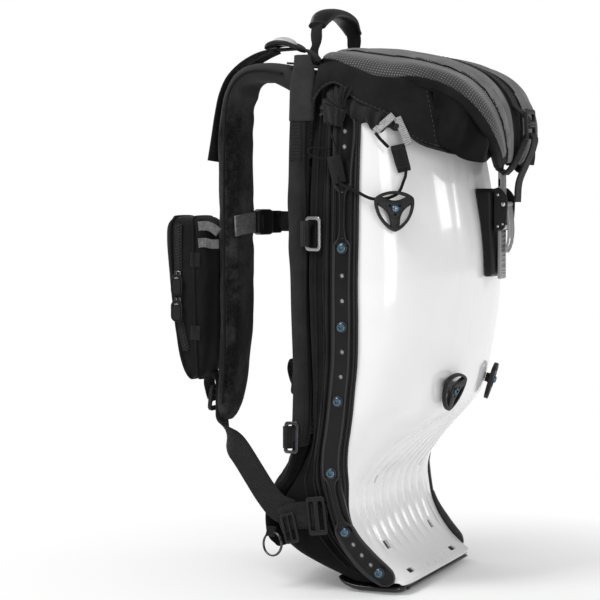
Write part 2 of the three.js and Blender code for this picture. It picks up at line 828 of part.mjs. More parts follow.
function shoulderPad() {
  const size = [[0, 46], [0.12, 52], [0.5, PAD_WIDTH], [0.85, 50], [0.96, 40], [1, 26]];
  return loft(
    steps(0, 1, 17).map((s) => {
      const at = padCurve.getPoint(s);
      const along = padCurve.getTangent(s);
      const w = v(1, 0, 0);
      w.addScaledVector(along, -w.dot(along)).normalize();
      const up = along.clone().cross(w).normalize();
      const half = through(size, s) / 2;
      const thick = (PAD_THICK / 2) * (s > 0.95 ? 1 - (s - 0.95) * 8 : 1);
      return [
        [1, 0.35], [0.86, 1], [-0.86, 1], [-1, 0.35], [-1, -0.35], [-0.86, -1], [0.86, -1], [1, -0.35],
      ].map(([a, b]) =>
        at.clone().addScaledVector(w, a * half).addScaledVector(up, b * thick),
      );
    }),
  );
}

// Point off the shoulder pad's upper face at a share of its length.
function abovePad(share, height, x) {
  const at = padCurve.getPointAt(share);
  const along = padCurve.getTangentAt(share);
  return v(x, at.y, at.z).addScaledVector(v(0, -along.z, along.y).normalize(), height);
}

function loadLifter() {
  const rise = PAD_THICK / 2 + 2;
  return band(
    [
      v(-86, 50, 502), v(-86, 54, 509), v(-86, 62, 514.5), abovePad(0.05, rise + 3, -86),
      abovePad(0.1, rise + 1.5, -86), abovePad(0.15, rise + 1.5, -86), abovePad(0.2, rise + 2.5, -86),
      v(-87, 154, 477), v(-88, 161, 455), v(-89, 166, 430), v(-90, 168, 415),
    ],
    () => v(1, 0, 0),
    () => WEB_NARROW,
    WEB_THICK,
    16,
  );
}

function lifterBuckle() {
  const outline = roundedShape(29, 26, 4);
  outline.holes.push(rectangleHole(0, -5.5, 21, 6), rectangleHole(0, 5.5, 21, 6));
  const along = padCurve.getTangentAt(0.06);
  const at = abovePad(0.06, PAD_THICK / 2 + 7, -86);
  return standOn(plate(outline, 3.6, 2), at, v(0, -along.z, along.y), along);
}

function strapLock() {
  const outline = roundedShape(32, 26, 4);
  outline.holes.push(rectangleHole(0, -6, 26, 5), rectangleHole(0, 5, 26, 6));
  return standOn(plate(outline, 3.6, 2), v(-87, 157.2, 184), v(0, 0.99, 0.1), v(0, -0.1, 0.99));
}

function lowerWebbing() {
  const turn = [[0, 0], [0.2, 0.02], [0.42, 1], [1, 1]];
  return band(
    [
      v(-87.5, 154.6, 196), v(-87.6, 155, 178), v(-89, 156, 157), v(-94, 146, 143), v(-102, 126, 128),
      v(-111, 105, 108), v(-118, 90, 92), v(-122.5, 74, 78), v(-124.5, 58, 68),
    ],
    (s) => v(1, 0, 0).lerp(v(0.1, 0.62, -0.78), Math.min(Math.max(through(turn, s), 0), 1)),
    () => WEB_WIDE,
    WEB_THICK,
    20,
  );
}

// The right strap hangs a little closer to the back and further out than the left one.
function settled(geometry) {
  const p = geometry.getAttribute("position");
  for (let i = 0; i < p.count; i += 1) {
    const away = Math.min(Math.max((p.getY(i) - 85) / 50, 0), 1);
    const k = away * away * (3 - 2 * away);
    p.setXYZ(i, p.getX(i) + 7 * k, p.getY(i) - 15 * k, p.getZ(i));
  }
  return geometry;
}

// ---------------------------------------------------------------- sternum strap
const STERNUM_Z = 352;

const sternumBandLeft = () =>
  band(
    [v(-110, 132.6, STERNUM_Z - 2), v(-84, 132.6, STERNUM_Z), v(-70, 131.6, STERNUM_Z + 1), v(-62, 129.6, STERNUM_Z + 1)],
    () => v(0, 0, 1),
    () => WEB_NARROW,
    WEB_THICK,
    6,
  );

const sternumWebRight = () =>
  band(
    [v(112, 117, STERNUM_Z - 2), v(84, 117, STERNUM_Z), v(40, 117.4, STERNUM_Z + 1), v(-12, 117.6, STERNUM_Z + 2)],
    () => v(0, 0, 1),
    () => WEB_NARROW,
    WEB_THICK,
    7,
  );

const BUCKLE_AXIS = v(-1, 0.22, 0).normalize();

function buckleFrameAt(geometry, along) {
  const origin = v(-34, 121.4, STERNUM_Z + 1.5);
  const z = v(0, 0, 1);
  const y = z.clone().cross(BUCKLE_AXIS);
  const matrix = new THREE.Matrix4().makeBasis(BUCKLE_AXIS, y, z);
  matrix.setPosition(origin.addScaledVector(BUCKLE_AXIS, along));
  return geometry.clone().applyMatrix4(matrix);
}

// Female half: a hollow housing with side windows for the prongs.
function sternumFemale() {
  const housing = moved(brick(24, 9, 25), 12, 0, 0);
  const cavity = moved(brick(22, 5.4, 19.4), 9, 0, 0);
  const windows = moved(brick(9, 5.4, 30), 11, 0, 0);
  return buckleFrameAt(cut(housing, [cavity, windows]), 2);
}

// Male half: a web bar frame with two spring prongs and a centre guide.
function sternumMale() {
  const root = moved(brick(15, 7, 22), -8, 0, 0);
  const slot = moved(brick(4, 12, 17), -10, 0, 0);
  const prong = (side) => {
    const outline = new THREE.Shape();
    outline.moveTo(-2, side * 8.6);
    outline.lineTo(9, side * 9.2);
    outline.lineTo(17, side * 6);
    outline.lineTo(17, side * 4.6);
    outline.lineTo(-2, side * 5.2);
    outline.closePath();
    const flat = plate(outline, 4.4);
    return flat.translate(0, 0, -2.2).rotateX(Math.PI / 2);
  };
  const guide = moved(brick(17, 4.4, 3), 5, 0, 0);
  return buckleFrameAt(cut(join(root, prong(1), prong(-1), guide), [slot]), 0.4);
}

// ---------------------------------------------------------------- pouch
function pouch() {
  const rows = [
    [203, 17, 168, 178], [208, 22, 163, 184], [222, 26, 160, 192], [245, 27.5, 158.5, 197],
    [300, 28, 157, 199.5], [343, 28, 157, 199.5], [354, 26, 159, 198], [359, 21, 163, 193],
  ];
  return loft(rows.map(([z, half, y0, y1]) => ringAt(z, half, half, y0, y1, 7, POUCH_X)));
}

// Zip slider on the pouch's outer side and the moulded pull that hangs from it.
function zipSlider(z) {
  return moved(brick(2.4, 7, 9), POUCH_X - 28 - 1.7, 181, z);
}

function zipPull(z) {
  const outline = roundedShape(9, 19, 4.2);
  outline.holes.push(rectangleHole(0, 5.6, 3, 2.4));
  const pull = plate(outline, 1.8, 3);
  return standOn(pull, v(POUCH_X - 28 - 3.4, 181, z), v(-1, 0, 0));
}

// ---------------------------------------------------------------- handle and rings
const HANDLE_PATH = [
  v(-HANDLE_HALF, HANDLE_BASE.y - 1, 505), v(-HANDLE_HALF + 1, HANDLE_BASE.y, 528),
  v(-HANDLE_HALF + 9, HANDLE_BASE.y, 547), v(-30, HANDLE_BASE.y, 556), v(0, HANDLE_BASE.y, 559),
  v(30, HANDLE_BASE.y, 556), v(HANDLE_HALF - 9, HANDLE_BASE.y, 547),
  v(HANDLE_HALF - 1, HANDLE_BASE.y, 528), v(HANDLE_HALF, HANDLE_BASE.y - 1, 505),
];

const handleBand = (width, thick) =>
  band(HANDLE_PATH, () => v(0, 1, 0), () => width, thick, 18);

function handleGrip() {
  const path = [
    v(-48, HANDLE_BASE.y, 547), v(-30, HANDLE_BASE.y, 556), v(0, HANDLE_BASE.y, 559),
    v(30, HANDLE_BASE.y, 556), v(48, HANDLE_BASE.y, 547),
  ];
  const curve = new THREE.CatmullRomCurve3(path, false, "centripetal");
  const grip = loft(
    steps(0, 1, 10).map((s) => {
      const at = curve.getPoint(s);
      const along = curve.getTangent(s);
      const up = v(-along.z, 0, along.x);
      return steps(0, 1, 8)
        .slice(0, -1)
        .map((q) => {
          const a = q * 2 * Math.PI;
          return at.clone().add(v(0, Math.cos(a) * 12, 0)).addScaledVector(up, Math.sin(a) * 6.5);
        });
    }),
  );
  return cut(grip, [handleBand(17, WEB_THICK + 1.2)]);
}

// Flat metal ring on the side of the pack body.
function sideRing() {
  const outline = roundedShape(19, 32, 4);
  outline.holes.push(roundedShape(13, 26, 3, THREE.Path));
  const slant = v(-0.93, 0.37, 0);
  return standOn(plate(outline, 2.4, 2), v(-136.8, 35, 344), slant);
}

function splitRing() {
  const ring = mergedOf(new THREE.TorusGeometry(11, 1.2, 5, 14));
  return standOn(ring, v(-119.5, 84, 50), v(-0.94, 0.3, 0.1));
}

// ---------------------------------------------------------------- assembly
const FINISHES = {
  gloss_white: { color: 0xf2f2f0, roughness: 0.18, metalness: 0 },
  black_plastic: { color: 0x1c1d1f, roughness: 0.55, metalness: 0 },
  black_rubber: { color: 0x141416, roughness: 0.85, metalness: 0 },
  grey_plastic: { color: 0x85878a, roughness: 0.6, metalness: 0 },
  blue_steel: { color: 0x7d93a8, roughness: 0.35, metalness: 1 },
  black_steel: { color: 0x2a2b2e, roughness: 0.4, metalness: 1 },
  satin_steel: { color: 0x8f9194, roughness: 0.4, metalness: 1 },
  black_fabric: { color: 0x1a1a1c, roughness: 0.95, metalness: 0 },
  black_webbing: { color: 0x232325, roughness: 0.9, metalness: 0 },
  grey_fabric: { color: 0x6d6f73, roughness: 0.95, metalness: 0 },
  grey_webbing: { color: 0x9a9c9f, roughness: 0.9, metalness: 0 },
  black_mesh: { color: 0x202022, roughness: 0.9, metalness: 0 },
};

const group = new THREE.Group();

function add(name, finish, geometry) {
  const mesh = new THREE.Mesh(geometry, new THREE.MeshStandardMaterial(FINISHES[finish]));
  mesh.position.z = -GROUND;
  mesh.name = name;
  group.add(mesh);
}

function addPair(name, finish, geometry) {
  add(`${name}_left`, finish, geometry);
  add(`${name}_right`, finish, mirrored(geometry));
}

function addHarnessPair(name, finish, geometry) {
  add(`${name}_left`, finish, geometry);
  add(`${name}_right`, finish, settled(mirrored(geometry)));
}

add("shell", "gloss_white", shell());
add("base_foot", "black_rubber", baseFoot());
addPair("rail", "black_plastic", rail());
addPair("rail_bolts", "blue_steel", railBolts());
add("back_frame", "black_plastic", backFrame());
add("pack_body", "black_fabric", packBody());
add("back_pad", "black_mesh", backPad());
add("lumbar_pad", "black_fabric", lumbarPad());
add("collar", "black_fabric", collar());
addPair("hook_upper", "black_plastic", hookAt(HOOK_UPPER));
addPair("hook_lower", "black_plastic", hookAt(HOOK_LOWER));
addPair("screw_upper", "blue_steel", hookScrewAt(HOOK_UPPER));
addPair("screw_lower", "blue_steel", hookScrewAt(HOOK_LOWER));
addPair("cord_tab_front", "black_webbing", tabFront());
addPair("cord_tab_rear", "black_webbing", tabRear());
addPair("elastic_cord", "black_webbing", elasticCord());
add("lid", "grey_fabric", lid());
addPair("lid_wing", "black_fabric", lidWing());
add("lid_ladder_lock", "black_plastic", lidLadderLock());
add("closure_webbing", "black_webbing", closureWebbing());
add("ladder_strap", "grey_plastic", ladderStrap());
add("latch_block", "black_rubber", latchBlock());
add("buckle_frame", "black_plastic", buckleFrame());
add("ratchet_lever", "grey_plastic", ratchetLever());
add("ratchet_pawl", "satin_steel", ratchetPawl());
addHarnessPair("shoulder_pad", "black_fabric", shoulderPad());
addHarnessPair("load_lifter", "grey_webbing", loadLifter());
addHarnessPair("lifter_buckle", "black_plastic", lifterBuckle());
addHarnessPair("lower_webbing", "black_webbing", lowerWebbing());
addHarnessPair("strap_lock", "black_plastic", strapLock());
add("sternum_band_left", "grey_webbing", sternumBandLeft());
add("sternum_web_right", "black_webbing", sternumWebRight());
add("sternum_female", "black_plastic", sternumFemale());
add("sternum_male", "black_plastic", sternumMale());
add("pouch", "black_fabric", pouch());
add("zip_slider_upper", "satin_steel", zipSlider(303));
add("zip_slider_lower", "satin_steel", zipSlider(278));
add("zip_pull_upper", "black_rubber", zipPull(294));
add("zip_pull_lower", "black_rubber", zipPull(269));
add("handle_webbing", "black_webbing", handleBand(16, WEB_THICK));
add("handle_grip", "black_rubber", handleGrip());
addPair("side_ring", "satin_steel", sideRing());
addPair("split_ring", "black_steel", splitRing());

export default group;
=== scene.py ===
import math

import bmesh
import bpy
import numpy as np
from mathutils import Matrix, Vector, noise


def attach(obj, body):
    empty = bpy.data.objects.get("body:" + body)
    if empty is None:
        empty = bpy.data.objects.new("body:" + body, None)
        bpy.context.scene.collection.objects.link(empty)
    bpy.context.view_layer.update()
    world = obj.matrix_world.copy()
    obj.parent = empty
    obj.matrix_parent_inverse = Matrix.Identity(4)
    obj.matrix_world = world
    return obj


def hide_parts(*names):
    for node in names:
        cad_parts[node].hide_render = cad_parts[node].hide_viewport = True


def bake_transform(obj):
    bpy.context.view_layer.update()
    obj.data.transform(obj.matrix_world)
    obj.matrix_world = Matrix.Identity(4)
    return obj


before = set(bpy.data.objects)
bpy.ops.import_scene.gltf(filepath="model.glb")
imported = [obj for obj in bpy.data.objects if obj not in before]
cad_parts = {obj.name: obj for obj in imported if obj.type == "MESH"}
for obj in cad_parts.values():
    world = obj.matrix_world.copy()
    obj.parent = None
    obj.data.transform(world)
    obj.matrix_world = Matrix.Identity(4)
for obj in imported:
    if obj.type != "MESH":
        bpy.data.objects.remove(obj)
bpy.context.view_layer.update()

# ------------------------------------------------------------------ driving dimensions
# Lengths are in millimetres. Heights are measured from GROUND below the foot, as in the CAD source.
MM = 0.001
GROUND = 7.0
SIDES = ((-1, "left"), (1, "right"))
FLANGE = 8.0
SHELL_WALL = 3.0
SHEET_ROUNDING = 0.45
SHELL_RIM = 452.0
SHELL_LOW = 18
SHELL_TOP = 446
RAIL_OUT = 0.7
RAIL_THICK = 3.4
RAIL_STEP = 1.6
BOLT_HEIGHTS = [331, 259, 190, 122, 66, 28]
HOOK_UPPER = (-130.0, 366.0)
HOOK_LOWER = (-62.0, 199.0)
HOOK_STANDOFF = 4.5
HOOK_THICK = 4.5
LOCK_Z = 446.7
LEVER_PIN = (0, -110, 371)
PAWL_PIN = (0, -109.8, 352)
PAD_THICK = 18.0
WEB_THICK = 1.8
WEB_WIDE = 25.0
WEB_NARROW = 20.0
STERNUM_Z = 352.0
LIFTER_BEND = 0.016
POUCH_X = -92.5
POUCH_HALF = 28.0
ZIP_Y = 181.0
HANDLE_Y = 66.0
# The photo's view: degrees, metres and the lens in millimetres.
VIEW_AZIMUTH = -68.11
VIEW_ELEVATION = 2.96
VIEW_DISTANCE = 2.0
VIEW_TARGET = (0, 0.104, 0.268)
VIEW_LENS = 120

# Shell: height, rail line, half width, crown of the outer face, section exponent.
STATIONS = np.array([
    [18, -34, 104.5, -44, 6], [25, -24, 107, -34, 6], [34, -13, 110, -23, 6],
    [44, -4, 113, -14, 6], [54, 3.5, 115.5, -7, 6], [66, 10, 118, -1, 6],
    [80, 14, 121, 3, 6], [95, 17, 124, 4, 4.5], [111, 19.5, 127, -1, 3.6],
    [127, 20, 129.5, -14, 3], [143, 18.5, 131.5, -29, 2.7], [160, 15, 134, -47, 2.5],
    [178, 11.5, 137, -66, 2.4], [197, 9, 139, -75, 2.4], [222, 5.5, 142, -81, 2.4],
    [259, 4, 144, -88, 2.4], [300, 4, 145, -92, 2.4], [340, 4, 143, -90, 2.4],
    [383, 5, 139, -83, 2.4], [420, 6, 134, -76, 2.4], [446, 6.5, 130, -68, 2.4],
], float)
# Fabric body: height and depth of its back.
BODY_BACK = np.array([
    [16, 14], [22, 28], [32, 52], [40, 68], [48, 78], [62, 84], [82, 84], [96, 79], [120, 62],
    [146, 49], [188, 45], [282, 47], [412, 48], [468, 47], [500, 47],
], float)
# Back panel: height and depth of its padded face.
PAD_FACE = np.array([
    [44, 80], [52, 90], [62, 94.5], [84, 95.5], [96, 92], [120, 78], [146, 66], [188, 62],
    [282, 64], [412, 66], [468, 63], [500, 57],
], float)
# Lid, from the back over the top to the front tip: crown depth, crown height, edge depth, edge
# height, half width.
LID_ROWS = np.array([
    [38, 517, 40, 505, 104], [20, 518, 20, 498, 114], [0, 517, 0, 485, 119],
    [-25, 514, -25, 474, 119], [-50, 509, -48, 480, 115], [-73, 502, -70, 477, 109],
    [-93, 492, -88, 469, 104], [-107, 479, -103, 457, 98], [-115, 464, -113, 443, 88],
    [-118, 449, -119, 430, 76], [-119, 434, -121, 418, 62], [-118, 419, -119, 410, 46],
    [-115, 410, -116, 406, 30],
], float)
# Middle line of the left shoulder pad, from the yoke down to its tip.
PAD_PATH = [
    (-83, 62, 489), (-82.5, 78, 494), (-81.5, 98, 497), (-81, 116, 495), (-80, 129, 484),
    (-79.5, 135.5, 466), (-79, 138, 430), (-79, 138.5, 360), (-79, 138.5, 300),
    (-80, 139, 230), (-82.5, 142, 190), (-86.5, 146, 162),
]


# ------------------------------------------------------------------ small maths
def through(pairs, x):
    """Smooth value at x through rows of [x, value]."""
    pairs = np.asarray(pairs, float)
    xs, ys = pairs[:, 0], pairs[:, 1]
    chord = np.diff(ys) / np.diff(xs)
    slope = np.concatenate([chord[:1], (chord[:-1] + chord[1:]) / 2, chord[-1:]])
    x = np.asarray(x, float)
    i = np.clip(np.searchsorted(xs, x, side="right") - 1, 0, len(xs) - 2)
    width = xs[i + 1] - xs[i]
    t = (x - xs[i]) / width
    return (
        (2 * t**3 - 3 * t**2 + 1) * ys[i]
        + (t**3 - 2 * t**2 + t) * width * slope[i]
        + (3 * t**2 - 2 * t**3) * ys[i + 1]
        + (t**3 - t**2) * width * slope[i + 1]
    )


def rail_y(z):
    """Depth of the line that a side rail follows."""
    return through(STATIONS[:, [0, 1]], z)


def half_width(z):
    """Half of the shell's width."""
    return through(STATIONS[:, [0, 2]], z)


def crown_y(z):
    """Depth of the shell's outer face on its middle line."""
    return through(STATIONS[:, [0, 3]], z)


def exponent(z):
    """How square the shell's section is: 2 is an oval."""
    return through(STATIONS[:, [0, 4]], z)


def back_y(z):
    """Depth of the fabric body's back."""
    return float(through(BODY_BACK, z))


def face_y(z):
    """Depth of the back panel's padded face."""
    return float(through(PAD_FACE, z))


def smooth(x, low, high):
    """Soft step from 0 at low to 1 at high."""
    t = np.clip((np.asarray(x, float) - low) / (high - low), 0, 1)
    return t * t * (3 - 2 * t)


def shell_y(x, z):
    """Depth of the shell's outer face."""
    n = exponent(z)
    across = np.clip(np.abs(x) / half_width(z), 0, 1)
    return rail_y(z) - (rail_y(z) - crown_y(z)) * (1 - across**n) ** (1 / n)


def bowed(value, power):
    """Signed power of a cosine or sine: below one it squares a circle's corners."""
    return np.sign(value) * np.abs(value) ** power


def full_turn(count):
    """Angles at equal steps round a circle."""
    return np.arange(count) * 2 * math.pi / count


def unit(vector):
    vector = np.asarray(vector, float)
    return vector / np.maximum(np.linalg.norm(vector, axis=-1, keepdims=True), 1e-9)


def on_shell(x, z):
    """Point and outward normal on the shell's outer face."""
    at = np.array([x, shell_y(x, z), z])
    side = np.array([x + 1, shell_y(x + 1, z), z]) - at
    up = np.array([x, shell_y(x, z + 1), z + 1]) - at
    return at, unit(np.cross(side, up))


def spline(points, count):
    """Centripetal curve through points, sampled evenly along its length."""
    p = np.array(points, float)
    p = np.vstack([2 * p[0] - p[1], p, 2 * p[-1] - p[-2]])
    dense = []
    t = np.linspace(0, 1, 24, endpoint=False)[:, None]
    for i in range(1, len(p) - 2):
        gaps = [np.linalg.norm(p[i + k] - p[i + k - 1]) ** 0.5 for k in range(3)]
        a = (p[i] - p[i - 1]) / gaps[0] - (p[i + 1] - p[i - 1]) / (gaps[0] + gaps[1])
        a = (a + (p[i + 1] - p[i]) / gaps[1]) * gaps[1]
        b = (p[i + 1] - p[i]) / gaps[1] - (p[i + 2] - p[i]) / (gaps[1] + gaps[2])
        b = (b + (p[i + 2] - p[i + 1]) / gaps[2]) * gaps[1]
        dense.append(
            (2 * t**3 - 3 * t**2 + 1) * p[i]
            + (t**3 - 2 * t**2 + t) * a
            + (3 * t**2 - 2 * t**3) * p[i + 1]
            + (t**3 - t**2) * b
        )
    return resampled(np.vstack(dense + [p[-2:-1]]), count)


def resampled(points, count):
    """The same line as count points at equal distances."""
    lengths = np.concatenate([[0], np.cumsum(np.linalg.norm(np.diff(points, axis=0), axis=1))])
    want = np.linspace(0, lengths[-1], count)
    return np.stack([np.interp(want, lengths, points[:, k]) for k in range(3)], axis=1)


def tangents(path):
    return unit(np.gradient(path, axis=0))


def rumple(points, size, depth, seed=0.0):
    """Noise value in millimetres for each point, for folds of about the given size."""
    flat = points.reshape(-1, 3) / size + seed
    values = np.array([noise.noise(Vector(p)) for p in flat])
    return depth * values.reshape(points.shape[:-1])


# ------------------------------------------------------------------ forms: points, faces and uv
class Form:
    """A closed body in millimetres. uv holds one pair per face corner, in millimetres along the cloth."""

    def __init__(self, points, faces, uv=None):
        self.points = np.array(points, float)
        self.faces = [tuple(int(i) for i in f) for f in faces]
        self.uv = uv

    def mirrored(self):
        flipped = self.points * np.array([-1, 1, 1])
        faces = [f[::-1] for f in self.faces]
        uv = None if self.uv is None else [u[::-1] for u in self.uv]
        return Form(flipped, faces, uv)

    def placed(self, at, out, up=(0, 0, 1)):
        """The form moved so that its z axis is out and its y axis is near up."""
        z = unit(out)
        x = unit(np.cross(up, z))
        y = np.cross(z, x)
        turn = np.stack([x, y, z])
        return Form(self.points @ turn + np.asarray(at, float), self.faces, self.uv)

    def moved(self, x, y, z):
        return Form(self.points + np.array([x, y, z], float), self.faces, self.uv)


def joined(*forms):
    """One form out of several."""
    points, faces, uv = [], [], []
    shift = 0
    for form in forms:
        points.append(form.points)
        faces += [tuple(i + shift for i in f) for f in form.faces]
        uv += form.uv if form.uv is not None else [[(0, 0)] * len(f) for f in form.faces]
        shift += len(form.points)
    return Form(np.vstack(points), faces, uv)


def sided(form, side):
    """The form of the left side, or its mirror image on the right."""
    return form if side < 0 else form.mirrored()


def bent(form, axis, rate):
    """The form with its height changed by rate times the square of x (0) or y (1)."""
    p = form.points.copy()
    p[:, 2] += rate * p[:, axis] ** 2
    return Form(p, form.faces)


def settled(form):
    """The right strap hangs closer to the back and further out than the left one."""
    p = form.points.copy()
    k = smooth(p[:, 1], 85, 135)
    p[:, 0] += 7 * k
    p[:, 1] -= 15 * k
    return Form(p, form.faces, form.uv)


def hung(form, side):
    """A harness form of the left side, or its mirror image hanging as the right strap does."""
    return form if side < 0 else settled(form.mirrored())


def grid_faces(rows, cols, closed=False):
    """Quads over a grid and the matching quads in a grid with one more column when closed."""
    faces, uv = [], []
    span = cols if closed else cols - 1
    wide = cols + 1 if closed else cols
    for i in range(rows - 1):
        for j in range(span):
            k = (j + 1) % cols
            faces.append((i * cols + j, i * cols + k, (i + 1) * cols + k, (i + 1) * cols + j))
            a = i * wide + j
            uv.append((a, a + 1, a + wide + 1, a + wide))
    return faces, uv


def grid_uv(grid):
    """Distance across and along each point of a grid."""
    across = np.linalg.norm(np.diff(grid, axis=1), axis=2)
    along = np.linalg.norm(np.diff(grid, axis=0), axis=2)
    u = np.concatenate([np.zeros((grid.shape[0], 1)), np.cumsum(across, axis=1)], axis=1)
    u -= u[:, -1:] / 2
    v = np.concatenate([np.zeros((1, grid.shape[1])), np.cumsum(along, axis=0)], axis=0)
    return np.stack([u, v], axis=2).reshape(-1, 2)


def grid_normals(grid):
    """Outward directions of a grid with rows down and columns across."""
    down = np.gradient(grid, axis=0)
    side = np.gradient(grid, axis=1)
    return unit(np.cross(down, side))


def sheet(outer, thickness):
    """Closed body between a grid and the same grid moved inwards, with a rounded rim."""
    rows, cols = outer.shape[:2]
    inner = outer - grid_normals(outer) * thickness
    front, uv_front = grid_faces(rows, cols)
    shift = rows * cols
    coordinates = grid_uv(outer)
    faces = list(front)
    uv = [[tuple(coordinates[i]) for i in f] for f in uv_front]
    faces += [tuple(i + shift for i in f[::-1]) for f in front]
    uv += [[tuple(coordinates[i]) for i in f[::-1]] for f in uv_front]
    points = [outer.reshape(-1, 3), inner.reshape(-1, 3)]
    border = [(0, j) for j in range(cols)]
    border += [(i, cols - 1) for i in range(1, rows)]
    border += [(rows - 1, j) for j in range(cols - 2, -1, -1)]
    border += [(i, 0) for i in range(rows - 2, 0, -1)]
    ids = [i * cols + j for i, j in border]
    middle = (outer + inner) / 2
    edge = middle.reshape(-1, 3)[ids]
    near = np.array([middle[min(max(i, 1), rows - 2), min(max(j, 1), cols - 2)] for i, j in border])
    points.append(edge + unit(edge - near) * thickness * SHEET_ROUNDING)
    base = 2 * shift
    for k in range(len(ids)):
        m = (k + 1) % len(ids)
        faces.append((ids[m], ids[k], base + k, base + m))
        faces.append((base + m, base + k, ids[k] + shift, ids[m] + shift))
        uv += [[tuple(coordinates[ids[m]]), tuple(coordinates[ids[k]])] * 2] * 2
    return Form(np.vstack(points), faces, uv)


def loft(rings):
    """Closed body through rings of equal length, with fan caps."""
    rings = np.asarray(rings, float)
    rows, cols = rings.shape[:2]
    faces, uv_quads = grid_faces(rows, cols, closed=True)
    wide = np.concatenate([rings, rings[:, :1]], axis=1)
    coordinates = grid_uv(wide)
    uv = [[tuple(coordinates[i]) for i in q] for q in uv_quads]
    hubs = np.stack([rings[0].mean(axis=0), rings[-1].mean(axis=0)])
    for j in range(cols):
        k = (j + 1) % cols
        faces.append((rows * cols, k, j))
        faces.append((rows * cols + 1, (rows - 1) * cols + j, (rows - 1) * cols + k))
        uv += [[(0, 0), (0, 1), (1, 0)]] * 2
    return Form(np.vstack([rings.reshape(-1, 3), hubs]), faces, uv)


def frames_along(path, wide):
    """Tangent, width and thickness directions of a band along a path."""
    along = tangents(path)
    w = np.array([wide] * len(path), float) if np.ndim(wide) == 1 else np.array(wide, float)
    w = w - along * np.sum(w * along, axis=1, keepdims=True)
    w = unit(w)
    return along, w, np.cross(along, w)


def ribbon(path, wide, width, thick):
    """Flat webbing along a path: rounded long edges and a slightly crowned face."""
    _, w, up = frames_along(path, wide)
    half = np.broadcast_to(np.asarray(width, float) / 2, (len(path),))
    section = [
        (1, 0.0), (0.985, 0.7), (0.95, 1), (0.5, 1.0), (0, 1.0), (-0.5, 1.0), (-0.95, 1),
        (-0.985, 0.7), (-1, 0.0), (-0.985, -0.7), (-0.95, -1), (-0.5, -1.0), (0, -1.0),
        (0.5, -1.0), (0.95, -1), (0.985, -0.7),
    ]
    rings = [
        [path[i] + w[i] * a * half[i] + up[i] * b * thick / 2 for a, b in section]
        for i in range(len(path))
    ]
    return loft(rings)


def tube(path, radius, sides=10):
    """Round cord along a path."""
    path = np.asarray(path, float)
    along = tangents(path)
    start = np.array([0, 0, 1.0]) if abs(along[0][2]) < 0.9 else np.array([1.0, 0, 0])
    side = unit(np.cross(along[0], start))
    rings = []
    for i, at in enumerate(path):
        side = unit(side - along[i] * side.dot(along[i]))
        other = np.cross(along[i], side)
        turns = full_turn(sides)
        rings.append([at + radius * (math.cos(a) * side + math.sin(a) * other) for a in turns])
    return loft(rings)


def ring_path(centre, axis_u, axis_v, radius, count):
    """Closed circle, without its repeated last point."""
    a = full_turn(count)
    return centre + radius * (np.outer(np.cos(a), axis_u) + np.outer(np.sin(a), axis_v))


def closed_tube(path, radius, sides=10):
    """Ring-shaped tube: the path joins its own start."""
    path = np.asarray(path, float)
    along = unit(np.roll(path, -1, axis=0) - np.roll(path, 1, axis=0))
    middle = path.mean(axis=0)
    normal = unit(np.cross(path[0] - middle, path[len(path) // 4] - middle))
    rings = []
    for i, at in enumerate(path):
        out = np.cross(along[i], normal)
        turns = full_turn(sides)
        rings.append([at + radius * (math.cos(a) * out + math.sin(a) * normal) for a in turns])
    count = len(rings)
    faces, _ = grid_faces(count + 1, sides, closed=True)
    return Form(np.reshape(rings, (-1, 3)), [tuple(i % (count * sides) for i in f) for f in faces])


def stitches(path, out, length=2.2, gap=1.6, radius=0.28, lift=0.1):
    """Row of short raised threads along a path; out is the direction off the cloth."""
    path = np.asarray(path, float)
    total = np.sum(np.linalg.norm(np.diff(path, axis=0), axis=1))
    count = max(int(total / (length + gap)), 1)
    fine = resampled(path, count * 6 + 1)
    out = np.broadcast_to(np.asarray(out, float), fine.shape)
    parts = []
    for k in range(count):
        piece = fine[k * 6:k * 6 + 4] + out[k * 6:k * 6 + 4] * np.array([[-0.1], [lift], [lift], [-0.1]])
        parts.append(tube(piece, radius, 5))
    return joined(*parts)


def lathe(profile, sides=32, star=None):
    """Body turned about z from (radius, height) pairs; star rows take a six-lobed radius."""
    rings = []
    for row, (radius, height) in enumerate(profile):
        ring = []
        for a in full_turn(sides):
            r = radius * (1 + 0.2 * math.cos(6 * a)) if star and row in star else radius
            ring.append((r * math.cos(a), r * math.sin(a), height))
        rings.append(ring)
    return loft(rings)


def form_of(obj):
    """Takes an object's evaluated mesh as a form and removes the object."""
    graph = bpy.context.evaluated_depsgraph_get()
    mesh = bpy.data.meshes.new_from_object(obj.evaluated_get(graph), depsgraph=graph)
    points = np.array([v.co[:] for v in mesh.vertices])
    faces = [tuple(p.vertices) for p in mesh.polygons]
    bpy.data.objects.remove(obj)
    bpy.data.meshes.remove(mesh)
    return Form(points, faces)


def plate(outlines, thick, bevel=0.5):
    """Flat plate with holes and rounded edges, standing on z = 0. The first outline is the outside."""
    curve = bpy.data.curves.new("plate_outline", "CURVE")
    curve.dimensions = "2D"
    curve.fill_mode = "BOTH"
    for outline in outlines:
        line = curve.splines.new("POLY")
        line.points.add(len(outline) - 1)
        for point, (x, y) in zip(line.points, outline):
            point.co = (x, y, 0, 1)
        line.use_cyclic_u = True
    curve.extrude = thick / 2 - bevel
    curve.bevel_depth = bevel
    curve.bevel_resolution = 2
    curve.offset = -bevel
    obj = bpy.data.objects.new("plate_outline", curve)
    bpy.context.scene.collection.objects.link(obj)
    form = form_of(obj)
    bpy.data.curves.remove(curve)
    form = welded(form, 0.01)
    return form.moved(0, 0, thick / 2)


